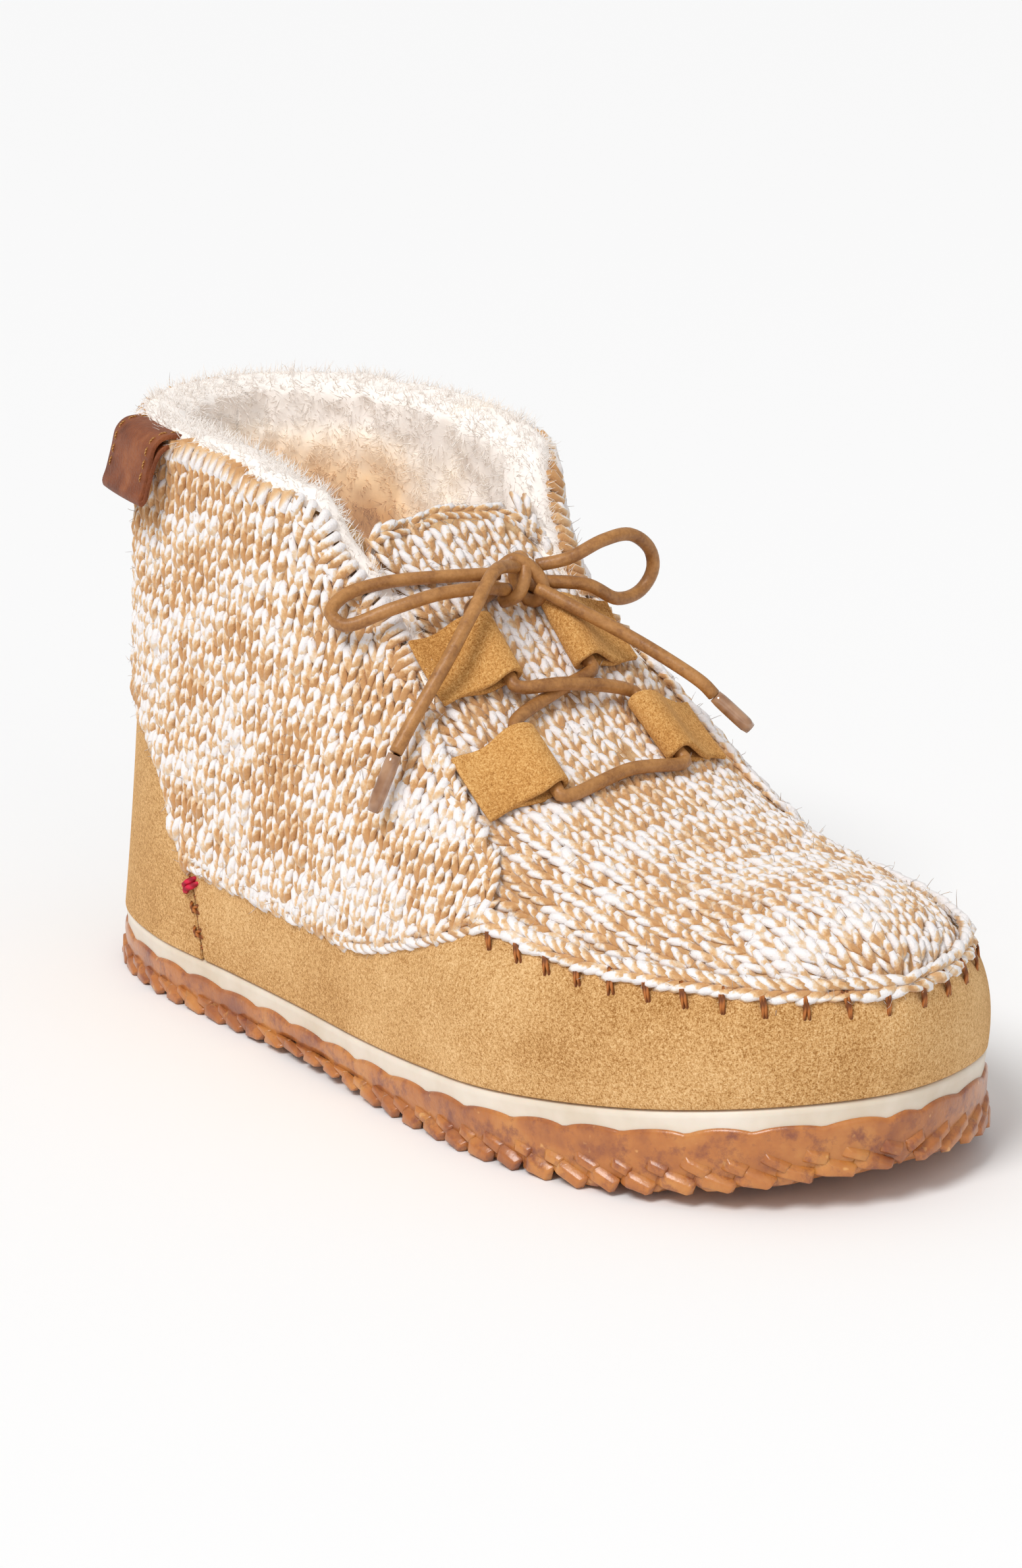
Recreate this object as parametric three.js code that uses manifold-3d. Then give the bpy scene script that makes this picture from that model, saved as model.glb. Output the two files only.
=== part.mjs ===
import * as THREE from "three";
import { mergeVertices } from "three/addons/utils/BufferGeometryUtils.js";
import Module from "manifold-3d";

// Slipper boot for the right foot: knitted upper, suede rand, gum sole.
// Millimetres, +X to the toe, +Y to the medial side, +Z up, floor at Z = 0.
const wasm = await Module();
wasm.setup();

const GAP = 0.3;
const WALL = 3;
const QUARTER_STEP = 2.5;
const SUEDE = 1.6;
const FEATHER_INSET = 3;
const HEEL_BEVEL = { start: -112, length: 17, lift: 2.5 };
const ARCH = { rear: -58, front: 26, lift: 1.8 };
const TOE_SPRING = { start: 74, length: 55, lift: 8.6, power: 1.7 };
const LUG = { perSide: 21, stations: 4, proud: 1.4, notch: 2.6, foot: 2.2 };
const LIP = { wave: 1.1, thick: 0.8, inset: 1.5 };
const INSOLE = { inset: 10, thick: 2.5 };
const LACE = { radius: 1.5, sides: 8 };
const TAB = { long: 16, reach: 15, thick: 1.8, eye: 3.4, bore: 2.2, rest: 0.4 };
const PULL = { row: 3, wide: 24, reach: 15, thick: 1.2, slot: 1.2, lean: 72, clear: 1, over: 9 };
const KNOT = { x: -1.5, y: -0.5, z: 107.5, radius: 4.2, leave: 4.9, bars: 6 };
const AGLET = { radius: 1.7, clear: 0.4 };
const RIDGE_ROW = 7;

// Sole outline, a row per station from heel to toe; lateral and medial are half widths.
const OUTLINE = [
  { along: -129, lateral: -1, medial: 1 },
  { along: -121.5, lateral: 24.5, medial: 25 },
  { along: -108.5, lateral: 36, medial: 35.5 },
  { along: -85, lateral: 43.5, medial: 40.5 },
  { along: -52, lateral: 45.5, medial: 38.5 },
  { along: -20, lateral: 48, medial: 38.5 },
  { along: 6, lateral: 51, medial: 43 },
  { along: 30, lateral: 53, medial: 49.5 },
  { along: 54, lateral: 53.4, medial: 53.4 },
  { along: 92, lateral: 44.5, medial: 50.5 },
  { along: 117.4, lateral: 26.5, medial: 33 },
  { along: 129, lateral: -0.5, medial: 0.5 },
];

// Heights along the sole: top of the gum and top of the cream strip.
const HEIGHTS = [
  { along: -129, gum: 8.2, seat: 13.4 },
  { along: -100, gum: 7.7, seat: 13 },
  { along: -40, gum: 7.4, seat: 12.8 },
  { along: 10, gum: 7.8, seat: 13.2 },
  { along: 54, gum: 10, seat: 15.4 },
  { along: 92, gum: 14.1, seat: 19.5 },
  { along: 117, gum: 17.5, seat: 22.9 },
  { along: 129, gum: 18.9, seat: 24.3 },
];

// The last, a row per outline station. Top edge: collar, then the ridge from the tongue to the toe.
// rise and lean steer the wall at the sole, pull steers it below the top edge.
const LAST = [
  { x: -119, lateral: 0, medial: 0, z: 130.5, rise: 36, lean: -4, pullX: -1.5, pullY: 0, pullZ: -40 },
  { x: -116.4, lateral: 12.8, medial: 12.3, z: 130.5, rise: 36, lean: -4, pullX: -1.4, pullY: 0.7, pullZ: -40 },
  { x: -104.5, lateral: 28, medial: 27, z: 130.5, rise: 36, lean: -4, pullX: -1, pullY: 1, pullZ: -40 },
  { x: -87, lateral: 36.5, medial: 34, z: 130, rise: 36, lean: -1, pullX: -0.5, pullY: 1.5, pullZ: -40 },
  { x: -56, lateral: 40, medial: 34.5, z: 129.5, rise: 36, lean: 1, pullX: 0, pullY: 2, pullZ: -40 },
  { x: -35, lateral: 39, medial: 32, z: 125.5, rise: 38, lean: 1, pullX: 2, pullY: 3, pullZ: -34 },
  { x: -22, lateral: 25, medial: 16, z: 119, rise: 44, lean: 1, pullX: 8, pullY: 12, pullZ: -20 },
  { x: -24, lateral: 5, medial: -5, z: 120, rise: 52, lean: 2, pullX: 10, pullY: 18, pullZ: -8 },
  { x: 24, lateral: 4, medial: -4, z: 80.5, rise: 40, lean: 2, pullX: 7, pullY: 24, pullZ: -5.5 },
  { x: 66, lateral: 0, medial: 0, z: 61.5, rise: 30, lean: 3, pullX: 4, pullY: 32, pullZ: 0 },
  { x: 90, lateral: -1, medial: 1, z: 60.5, rise: 27, lean: 2.5, pullX: 16, pullY: 22, pullZ: 0 },
  { x: 98, lateral: -1, medial: 1, z: 60, rise: 25, lean: 2.5, pullX: 24, pullY: 0, pullZ: 0 },
];

// Edges of the overlays seen from the side, a row per corner.
const COUNTER_EDGE = [
  { x: -62, z: 8 },
  { x: -66, z: 28 },
  { x: -70, z: 34.8 },
  { x: -74, z: 42 },
  { x: -78, z: 48 },
  { x: -82, z: 54.5 },
  { x: -88, z: 60 },
  { x: -100, z: 64 },
  { x: -114, z: 66 },
  { x: -145, z: 67 },
];
const QUARTER_LOWER = [
  { x: -60, z: 35 },
  { x: -2, z: 34.8 },
  { x: 6, z: 35.5 },
  { x: 16, z: 38 },
  { x: 30, z: 43 },
  { x: 40, z: 47 },
];
const QUARTER_FRONT = [
  { x: 45, z: 49 },
  { x: 46, z: 53 },
  { x: 41.5, z: 60 },
  { x: 33, z: 66.5 },
  { x: 23, z: 74.5 },
  { x: 16, z: 80.5 },
  { x: 9, z: 86 },
  { x: 2, z: 91.5 },
  { x: -5, z: 97 },
];
const COLLAR_FRONT = [
  { x: -12.5, z: 103 },
  { x: -17, z: 107 },
  { x: -21, z: 111 },
  { x: -24.5, z: 116 },
  { x: -28, z: 121.5 },
  { x: -35, z: 125 },
  { x: -40, z: 136 },
];
const APRON_SEAM = [
  { x: 49, z: 48.8 },
  { x: 60, z: 47.4 },
  { x: 75, z: 46.4 },
  { x: 90, z: 46.2 },
  { x: 110, z: 46.2 },
  { x: 145, z: 45 },
];
// Middle of each lace tab seen from above.
const LACE_TABS = [
  { name: "lower_lateral", side: -1, x: 29.5, y: -28 },
  { name: "upper_lateral", side: -1, x: 6.5, y: -23 },
  { name: "lower_medial", side: 1, x: 28, y: 19.5 },
  { name: "upper_medial", side: 1, x: 6, y: 12.5 },
];
// Where the lace lies over the tongue between the tabs, and how high above it.
const LACE_REST = {
  crossOver: { x: 18, y: -5, lift: 6.2 },
  crossUnder: { x: 17, y: -5, lift: 2.9 },
  bottomBar: { x: 39, y: -4.5, lift: 2.6 },
};
// Free lace, from the knot outwards; the first and the last row of a loop are directions out of the knot.
const LOOP_LATERAL = [
  { x: -0.35, y: -0.87, z: 0.35 },
  { x: -8, y: -18, z: 109.5 },
  { x: -12.5, y: -29, z: 109 },
  { x: -15, y: -38, z: 107 },
  { x: -14, y: -42.5, z: 104 },
  { x: -9.5, y: -42, z: 102 },
  { x: -3.5, y: -34, z: 105.5 },
  { x: 0.5, y: -24, z: 108.2 },
  { x: 2.6, y: -14, z: 108.4 },
  { x: 0.3, y: -0.92, z: -0.25 },
];
const LOOP_MEDIAL = [
  { x: 0.25, y: 0.75, z: 0.6 },
  { x: 3.7, y: 9, z: 112 },
  { x: 5.6, y: 17, z: 115.2 },
  { x: 5.4, y: 25, z: 115.4 },
  { x: 4.9, y: 31, z: 111 },
  { x: 4.6, y: 32, z: 106.2 },
  { x: 4.2, y: 29, z: 102 },
  { x: 4.9, y: 22, z: 101.2 },
  { x: 5, y: 13, z: 105.8 },
  { x: 0.45, y: 0.88, z: -0.1 },
];
const END_LATERAL = [
  { x: 0.45, y: -0.45, z: 0.77 },
  { x: 5, y: -12, z: 112.6 },
  { x: 10, y: -21.5, z: 106.5 },
  { x: 13.2, y: -31, z: 97.5 },
  { x: 13.8, y: -41, z: 85.5 },
  { x: 14.3, y: -46, z: 79.3 },
];
const END_MEDIAL = [
  { x: 0.93, y: 0.25, z: -0.2 },
  { x: 12.6, y: 7, z: 101.6 },
  { x: 18.7, y: 13, z: 97.3 },
  { x: 26.2, y: 18, z: 92.8 },
  { x: 33.5, y: 23, z: 87.6 },
  { x: 34.8, y: 25, z: 85 },
];
const AGLET_TIPS = { lateral: { x: 12.8, y: -51, z: 66.8 }, medial: { x: 40.2, y: 31, z: 77.5 } };
const BAR_LEAVE = { lateral: { x: -0.5, y: -0.78, z: -0.36 }, medial: { x: -0.5, y: 0.78, z: -0.36 } };
const TONGUE_TOP = { centre: -7, half: 21, z: 121, drop: 9 };
const THROAT = { centre: -4.5, half: 20, straight: 26, end: 42 };

const LATERAL = -1;
const MEDIAL = 1;
const SIDES = [LATERAL, MEDIAL];
const PER_ROW = 3;
const LEVELS = 8;

const SUEDE_TAN = new THREE.MeshStandardMaterial({ color: 0xcd9b5f, roughness: 0.95 });
const KNIT = new THREE.MeshStandardMaterial({ color: 0xe2cba8, roughness: 0.9 });
const GUM = new THREE.MeshStandardMaterial({ color: 0xc8823c, roughness: 0.4 });
const CREAM = new THREE.MeshStandardMaterial({ color: 0xeee4d2, roughness: 0.5 });
const FLEECE = new THREE.MeshStandardMaterial({ color: 0xf0e6d6, roughness: 1 });
const LEATHER = new THREE.MeshStandardMaterial({ color: 0x7d4123, roughness: 0.6 });
const WAXED_CORD = new THREE.MeshStandardMaterial({ color: 0xaa7841, roughness: 0.5 });
const CLEAR_TIP = new THREE.MeshStandardMaterial({ color: 0xa58a78, roughness: 0.2 });

const group = new THREE.Group();
group.name = "slipper_boot";

function addPiece(name, geometry, material) {
  const mesh = new THREE.Mesh(geometry, material);
  mesh.name = name;
  group.add(mesh);
}

// Smooth curve through table rows, read at a place along the key column.
function readTable(rows, key, column, at) {
  const end = rows.length - 1;
  let i = 0;
  while (i < end - 1 && at > rows[i + 1][key]) i += 1;
  const slope = (j) => {
    const before = rows[Math.max(j - 1, 0)];
    const after = rows[Math.min(j + 1, end)];
    return (after[column] - before[column]) / (after[key] - before[key]);
  };
  const span = rows[i + 1][key] - rows[i][key];
  const t = THREE.MathUtils.clamp((at - rows[i][key]) / span, 0, 1);
  const start = rows[i][column];
  const rise = rows[i + 1][column] - start;
  const ease = t * t * (3 - 2 * t);
  const leave = t * (1 - t) * (1 - t) * slope(i) * span;
  const arrive = t * t * (1 - t) * slope(i + 1) * span;
  return start + rise * ease + leave - arrive;
}

function closedOutline() {
  const lateral = OUTLINE.map((row) => new THREE.Vector3(row.along, -row.lateral, 0));
  const medial = OUTLINE.slice(1, -1).map((row) => new THREE.Vector3(row.along, row.medial, 0));
  const curve = new THREE.CatmullRomCurve3([...lateral, ...medial.reverse()], true, "centripetal");
  curve.arcLengthDivisions = 440;
  return curve;
}

const outline = closedOutline();
const halfRows = OUTLINE.length - 1;
const arcLengths = outline.getLengths();
const lateralShare = arcLengths[220] / arcLengths[440];

// Point of the sole outline at a table row, moved inwards.
function rim(side, row, inset) {
  const turn = row / (2 * halfRows);
  const t = side === LATERAL ? turn : (1 - turn) % 1;
  const point = outline.getPoint(t);
  const heading = outline.getTangent(t);
  return new THREE.Vector3(point.x - heading.y * inset, point.y + heading.x * inset, 0);
}

// Table row that lies at a share of the way round one side, by length.
function rowAt(side, share) {
  if (side === LATERAL) return outline.getUtoTmapping(share * lateralShare) * 2 * halfRows;
  return (1 - outline.getUtoTmapping(1 - share * (1 - lateralShare))) * 2 * halfRows;
}

function ground(x) {
  if (x < HEEL_BEVEL.start) return HEEL_BEVEL.lift * ((HEEL_BEVEL.start - x) / HEEL_BEVEL.length) ** 2;
  if (x > TOE_SPRING.start) {
    return TOE_SPRING.lift * ((x - TOE_SPRING.start) / TOE_SPRING.length) ** TOE_SPRING.power;
  }
  const along = THREE.MathUtils.clamp((x - ARCH.rear) / (ARCH.front - ARCH.rear), 0, 1);
  return ARCH.lift * Math.sin(Math.PI * along) ** 2;
}

const gumTop = (x) => readTable(HEIGHTS, "along", "gum", x);
const seatTop = (x) => readTable(HEIGHTS, "along", "seat", x);
const cupFloor = (x) => ground(x) + 0.55 * (gumTop(x) - ground(x));

function indexedGeometry(points, faces) {
  const geometry = new THREE.BufferGeometry();
  geometry.setAttribute("position", new THREE.Float32BufferAttribute(points.flatMap((p) => p.toArray()), 3));
  geometry.setIndex(faces.flat());
  geometry.computeVertexNormals();
  return geometry;
}

// Solid from stacked rings round the sole; each ring gives a point per side and station.
function ringSolid(count, rings) {
  const slots = 2 * count;
  const points = [];
  const faces = [];
  for (const ring of rings) {
    for (let slot = 0; slot < slots; slot += 1) {
      const side = slot <= count ? LATERAL : MEDIAL;
      points.push(ring(side, slot <= count ? slot : slots - slot));
    }
  }
  for (let level = 0; level < rings.length - 1; level += 1) {
    for (let slot = 0; slot < slots; slot += 1) {
      const a = level * slots + slot;
      const b = level * slots + ((slot + 1) % slots);
      faces.push([a, b, b + slots], [a, b + slots, a + slots]);
    }
  }
  const top = (rings.length - 1) * slots;
  for (let j = 0; j < count; j += 1) {
    const near = [j, j + 1];
    const far = [(slots - j) % slots, slots - j - 1];
    if (j > 0) faces.push([near[0], far[0], far[1]], [top + near[0], top + far[1], top + far[0]]);
    if (j < count - 1) faces.push([near[0], far[1], near[1]], [top + near[0], top + near[1], top + far[1]]);
  }
  return indexedGeometry(points, faces);
}

// Ring of a sole piece: inset and height are read at the station.
function soleRing(count, inset, height) {
  return (side, j) => {
    const row = rowAt(side, j / count);
    const point = rim(side, row, inset(j));
    point.z = height(point.x, j);
    return point;
  };
}

function outsole() {
  const count = LUG.perSide * LUG.stations;
  const saw = (j) => [1, 0.75, 0.35, 0][((j % LUG.stations) + LUG.stations) % LUG.stations];
  const notch = (j) => [0, 0, 1, 1][j % LUG.stations] * LUG.notch;
  const wave = (j) => [0, 1, 0.4, -1][(j + 1) % LUG.stations] * LIP.wave;
  const lug = (j) => LUG.proud * (1 - saw(j));
  const treadZ = (x, j) => ground(x) + notch(j) * (gumTop(x) - ground(x) > 5 ? 1 : 0.6);
  return ringSolid(count, [
    soleRing(count, () => 2.4, treadZ),
    soleRing(count, (j) => lug(j), (x, j) => treadZ(x, j) * 0.4 + (ground(x) + LUG.foot) * 0.6 + 0.6),
    soleRing(count, (j) => 0.5 + 0.8 * lug(j + 1), (x) => ground(x) + 0.55 * (gumTop(x) - ground(x))),
    soleRing(count, () => 1, (x, j) => gumTop(x) - 1.3 + 0.5 * wave(j)),
    soleRing(count, () => LIP.inset, (x, j) => gumTop(x) + wave(j)),
    soleRing(count, () => LIP.inset + LIP.thick, (x, j) => gumTop(x) + wave(j)),
    soleRing(count, () => LIP.inset + LIP.thick, (x) => cupFloor(x)),
  ]);
}

function midsole() {
  const count = 36;
  const inner = LIP.inset + LIP.thick + GAP;
  const clear = LIP.wave + GAP;
  return ringSolid(count, [
    soleRing(count, () => inner, (x) => cupFloor(x) + GAP),
    soleRing(count, () => inner, (x) => gumTop(x) + clear),
    soleRing(count, () => 1.5, (x) => gumTop(x) + clear + 0.7),
    soleRing(count, () => 1.5, (x) => seatTop(x) - 0.9),
    soleRing(count, () => 2.4, (x) => seatTop(x)),
  ]);
}

function insole() {
  const count = 22;
  return ringSolid(count, [
    soleRing(count, () => INSOLE.inset, (x) => seatTop(x) + GAP),
    soleRing(count, () => INSOLE.inset, (x) => seatTop(x) + GAP + INSOLE.thick),
  ]);
}

const lastRows = LAST.map((row, index) => ({ ...row, row: index }));
const collarRows = lastRows.slice(0, RIDGE_ROW + 1);
const ridgeRows = lastRows.slice(RIDGE_ROW);

function topEdge(side, row) {
  const rows = row <= RIDGE_ROW ? collarRows : ridgeRows;
  const read = (column) => readTable(rows, "row", column, row);
  const across = side === LATERAL ? -read("lateral") : read("medial");
  return new THREE.Vector3(read("x"), across, read("z"));
}

// Outside of the last: row runs from heel to toe, level from the sole (0) to the top edge (1).
function lastPoint(side, row, level) {
  const read = (column) => readTable(lastRows, "row", column, row);
  const foot = rim(side, row, FEATHER_INSET);
  foot.z = seatTop(foot.x) + GAP;
  const wall = rim(side, row, FEATHER_INSET - read("lean"));
  wall.z = foot.z + read("rise");
  const top = topEdge(side, row);
  const pull = new THREE.Vector3(read("pullX"), side * read("pullY"), read("pullZ"));
  return new THREE.CubicBezierCurve3(foot, wall, top.clone().add(pull), top).getPoint(level);
}

// Whole last as one skin; the two sides share the heel line, the toe line and the ridge.
function lastSkin() {
  const columns = halfRows * PER_ROW;
  const points = [];
  const feet = new Set();
  const numbers = new Map();
  const vertex = (side, i, j) => {
    const onRidge = j === LEVELS && i >= RIDGE_ROW * PER_ROW;
    const shared = i === 0 || i === columns || onRidge;
    const key = `${shared ? LATERAL : side} ${i} ${j}`;
    if (!numbers.has(key)) {
      numbers.set(key, points.length);
      if (j === 0) feet.add(points.length);
      points.push(lastPoint(side, i / PER_ROW, j / LEVELS));
    }
    return numbers.get(key);
  };
  const faces = [];
  for (const side of SIDES) {
    for (let i = 0; i < columns; i += 1) {
      for (let j = 0; j < LEVELS; j += 1) {
        const a = vertex(side, i, j);
        const b = vertex(side, i + 1, j);
        const c = vertex(side, i + 1, j + 1);
        const d = vertex(side, i, j + 1);
        if (side === LATERAL) faces.push([a, b, c], [a, c, d]);
        else faces.push([b, a, d], [b, d, c]);
      }
    }
  }
  return { points, faces, feet };
}

// Outward directions; along the sole edge they stay level.
function skinNormals({ points, faces, feet }) {
  const normals = points.map(() => new THREE.Vector3());
  for (const [a, b, c] of faces) {
    const u = points[b].clone().sub(points[a]);
    const across = u.cross(points[c].clone().sub(points[a]));
    for (const corner of [a, b, c]) normals[corner].add(across);
  }
  for (const foot of feet) normals[foot].z = 0;
  return normals.map((normal) => normal.normalize());
}

const skin = lastSkin();
const normals = skinNormals(skin);

function manifoldOf(geometry) {
  const mesh = { numProp: 3, vertProperties: geometry.attributes.position.array, triVerts: geometry.index.array };
  mesh.vertProperties = new Float32Array(mesh.vertProperties);
  mesh.triVerts = new Uint32Array(mesh.triVerts);
  return new wasm.Manifold(new wasm.Mesh(mesh));
}

function geometryOf(solid) {
  const mesh = solid.getMesh();
  const geometry = new THREE.BufferGeometry();
  geometry.setAttribute("position", new THREE.Float32BufferAttribute(mesh.vertProperties, 3));
  geometry.setIndex(new THREE.Uint32BufferAttribute(mesh.triVerts, 1));
  geometry.computeVertexNormals();
  return geometry;
}

// Closed shell between two distances from the last.
function shell(inner, outer) {
  const count = skin.points.length;
  const moved = (distance) => skin.points.map((p, i) => p.clone().addScaledVector(normals[i], distance));
  const faces = [];
  const edges = new Map();
  for (const [a, b, c] of skin.faces) {
    faces.push([a, b, c], [count + a, count + c, count + b]);
    for (const [from, to] of [[a, b], [b, c], [c, a]]) {
      if (!edges.delete(`${to} ${from}`)) edges.set(`${from} ${to}`, [from, to]);
    }
  }
  for (const [from, to] of edges.values()) {
    faces.push([to, from, count + from], [to, count + from, count + to]);
  }
  return manifoldOf(indexedGeometry([...moved(outer), ...moved(inner)], faces));
}

function plainSolid(geometry) {
  geometry.deleteAttribute("uv");
  geometry.deleteAttribute("normal");
  return manifoldOf(mergeVertices(geometry, 1e-4));
}

// Block with a side-view outline that runs right across the boot.
function sideBlock(corners, shiftX = 0, shiftZ = 0) {
  const shape = new THREE.Shape(corners.map((c) => new THREE.Vector2(c.x + shiftX, c.z + shiftZ)));
  const block = new THREE.ExtrudeGeometry(shape, { depth: 160, bevelEnabled: false });
  block.rotateX(Math.PI / 2);
  block.translate(0, 80, 0);
  return plainSolid(block);
}

// Throat opening seen from above: straight sides with a round front end.
function throatBlock(margin) {
  const half = THROAT.half - margin;
  const end = THROAT.end - margin;
  const shape = new THREE.Shape();
  shape.moveTo(-70, THROAT.centre - half);
  shape.lineTo(THROAT.straight, THROAT.centre - half);
  shape.absellipse(THROAT.straight, THROAT.centre, end - THROAT.straight, half, -Math.PI / 2, Math.PI / 2);
  shape.lineTo(-70, THROAT.centre + half);
  const block = new THREE.ExtrudeGeometry(shape, { depth: 110, bevelEnabled: false, curveSegments: 14 });
  block.translate(0, 0, 50);
  return plainSolid(block);
}

const quarterCorners = [
  ...COUNTER_EDGE.slice(2).reverse(),
  ...QUARTER_LOWER,
  ...QUARTER_FRONT,
  ...COLLAR_FRONT,
  { x: -40, z: 160 },
  { x: -145, z: 160 },
];

function upper() {
  const base = shell(-WALL, 0);
  const step = shell(-1, QUARTER_STEP).intersect(sideBlock(quarterCorners));
  const collarCut = sideBlock([
    QUARTER_FRONT[QUARTER_FRONT.length - 1],
    ...COLLAR_FRONT,
    { x: -40, z: 160 },
    { x: 60, z: 160 },
    { x: 60, z: 97 },
  ].reverse());
  return base.add(step).subtract(collarCut).subtract(throatBlock(0));
}

// Rounded top of the tongue seen from the front.
function tongueTopBlock() {
  const shape = new THREE.Shape();
  shape.moveTo(TONGUE_TOP.centre - 40, 40);
  shape.lineTo(TONGUE_TOP.centre + 40, 40);
  shape.lineTo(TONGUE_TOP.centre + 40, TONGUE_TOP.z - 4 * TONGUE_TOP.drop);
  for (let step = 8; step >= -8; step -= 1) {
    const across = (step / 8) * 1.4;
    const z = TONGUE_TOP.z - TONGUE_TOP.drop * across ** 4;
    shape.lineTo(TONGUE_TOP.centre + across * TONGUE_TOP.half, z);
  }
  shape.lineTo(TONGUE_TOP.centre - 40, TONGUE_TOP.z - 4 * TONGUE_TOP.drop);
  const block = new THREE.ExtrudeGeometry(shape, { depth: 160, bevelEnabled: false });
  block.rotateX(Math.PI / 2);
  block.rotateZ(Math.PI / 2);
  block.translate(-80, 0, 0);
  return plainSolid(block);
}

function tongue() {
  return shell(-WALL, 0).intersect(throatBlock(GAP)).intersect(tongueTopBlock());
}

function suedeShell() {
  return shell(GAP, GAP + SUEDE);
}

function heelCounter() {
  const corners = [{ x: -62, z: 0 }, ...COUNTER_EDGE, { x: -145, z: 0 }];
  return suedeShell().intersect(sideBlock(corners, -GAP, -GAP));
}

function rand() {
  const corners = [
    { x: -62, z: 0 },
    { x: 145, z: 0 },
    ...[...APRON_SEAM].reverse(),
    ...[...QUARTER_LOWER].reverse(),
    ...COUNTER_EDGE.slice(0, 3).reverse(),
  ];
  return suedeShell().intersect(sideBlock(corners, GAP, -GAP));
}

const vector = (row) => new THREE.Vector3(row.x, row.y, row.z);

// Place on the last above a point of the plan: the nearest one on the vamp or tongue.
function placeOnLast(side, x, y) {
  let best = { row: 8, level: 0.7 };
  let reach = { row: 3, level: 0.3 };
  const miss = (row, level) => {
    const point = lastPoint(side, row, level);
    return Math.hypot(point.x - x, point.y - y);
  };
  for (let pass = 0; pass < 8; pass += 1) {
    const centre = best;
    let least = Infinity;
    for (let i = -6; i <= 6; i += 1) {
      for (let j = -6; j <= 6; j += 1) {
        const row = THREE.MathUtils.clamp(centre.row + (reach.row * i) / 6, 5, halfRows);
        const level = THREE.MathUtils.clamp(centre.level + (reach.level * j) / 6, 0.3, 1);
        const off = miss(row, level);
        if (off < least) {
          least = off;
          best = { row, level };
        }
      }
    }
    reach = { row: reach.row / 3, level: reach.level / 3 };
  }
  return best;
}

function outward(side, { row, level }) {
  const small = 0.01;
  const low = Math.min(level, 1 - small);
  const forward = lastPoint(side, row + small, low).sub(lastPoint(side, row - small, low));
  const up = lastPoint(side, row, low + small).sub(lastPoint(side, row, low - small));
  return forward.cross(up).multiplyScalar(-side).normalize();
}

// Point above the last at a place of the plan.
function above({ x, y, lift }) {
  const side = y < THROAT.centre ? LATERAL : MEDIAL;
  const place = placeOnLast(side, x, y);
  return lastPoint(side, place.row, place.level).addScaledVector(outward(side, place), lift);
}

// Directions of a tab: along its fold, across to the medial side, and out of the boot.
function tabFrame({ side, x, y }) {
  const place = placeOnLast(side, x, y);
  const out = outward(side, place);
  const fold = new THREE.Vector3(0.78, 0, -0.62).addScaledVector(out, -0.78 * out.x + 0.62 * out.z).normalize();
  const across = out.clone().cross(fold);
  const origin = lastPoint(side, place.row, place.level).addScaledVector(out, TAB.rest);
  const frame = new THREE.Matrix4().makeBasis(fold, across, out).setPosition(origin);
  return { frame, eyeY: (-side * TAB.reach) / 2, eyeZ: TAB.eye - 0.2 };
}

function laceTab(tab, keepOut) {
  const { frame, eyeY, eyeZ } = tabFrame(tab);
  const rod = (radius, length) => {
    const cylinder = new THREE.CylinderGeometry(radius, radius, length, 12);
    cylinder.rotateZ(Math.PI / 2);
    cylinder.translate(0, eyeY, eyeZ);
    return plainSolid(cylinder.applyMatrix4(frame));
  };
  const plate = new THREE.BoxGeometry(TAB.long, TAB.reach, TAB.thick);
  plate.translate(0, 0, TAB.thick / 2);
  const body = plainSolid(plate.applyMatrix4(frame)).add(rod(TAB.eye, TAB.long));
  return body.subtract(rod(TAB.bore, TAB.long + 4)).subtract(keepOut);
}

// Lace centre at one end of a tab's eye: +1 is the end towards the toe.
function eyeEnd(name, end, beyond) {
  const { frame, eyeY, eyeZ } = tabFrame(LACE_TABS.find((tab) => tab.name === name));
  return new THREE.Vector3(end * (TAB.long / 2 + beyond), eyeY, eyeZ).applyMatrix4(frame);
}

function cord(points, radius, steps) {
  const shape = new THREE.Shape();
  for (let i = 0; i < LACE.sides; i += 1) {
    const angle = (2 * Math.PI * i) / LACE.sides;
    const corner = [radius * Math.cos(angle), radius * Math.sin(angle)];
    if (i === 0) shape.moveTo(...corner);
    else shape.lineTo(...corner);
  }
  const path = new THREE.CatmullRomCurve3(points, false, "centripetal");
  return new THREE.ExtrudeGeometry(shape, { steps, extrudePath: path, bevelEnabled: false });
}

function leaveKnot(row, distance = KNOT.leave) {
  return vector(row).normalize().multiplyScalar(distance).add(vector(KNOT));
}

function laceBars() {
  const through = (name, first) => [
    eyeEnd(name, first, 2.5),
    eyeEnd(name, first, -0.5),
    eyeEnd(name, -first, -0.5),
    eyeEnd(name, -first, 2.5),
  ];
  return cord([
    leaveKnot(BAR_LEAVE.lateral, KNOT.bars),
    ...through("upper_lateral", -1),
    above(LACE_REST.crossOver),
    ...through("lower_medial", -1),
    above(LACE_REST.bottomBar),
    ...through("lower_lateral", 1),
    above(LACE_REST.crossUnder),
    ...through("upper_medial", 1),
    leaveKnot(BAR_LEAVE.medial, KNOT.bars),
  ], LACE.radius, 60);
}

function looseCord(rows, steps) {
  const middle = rows.slice(1, -1).map(vector);
  return cord([leaveKnot(rows[0]), ...middle, leaveKnot(rows[rows.length - 1])], LACE.radius, steps);
}

function laceEnd(rows) {
  return cord([leaveKnot(rows[0]), ...rows.slice(1).map(vector)], LACE.radius, 11);
}

function aglet(rows, tip) {
  const start = vector(rows[rows.length - 1]);
  const heading = vector(tip).sub(start).normalize();
  return cord([start.addScaledVector(heading, AGLET.clear), vector(tip)], AGLET.radius, 1);
}

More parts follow.
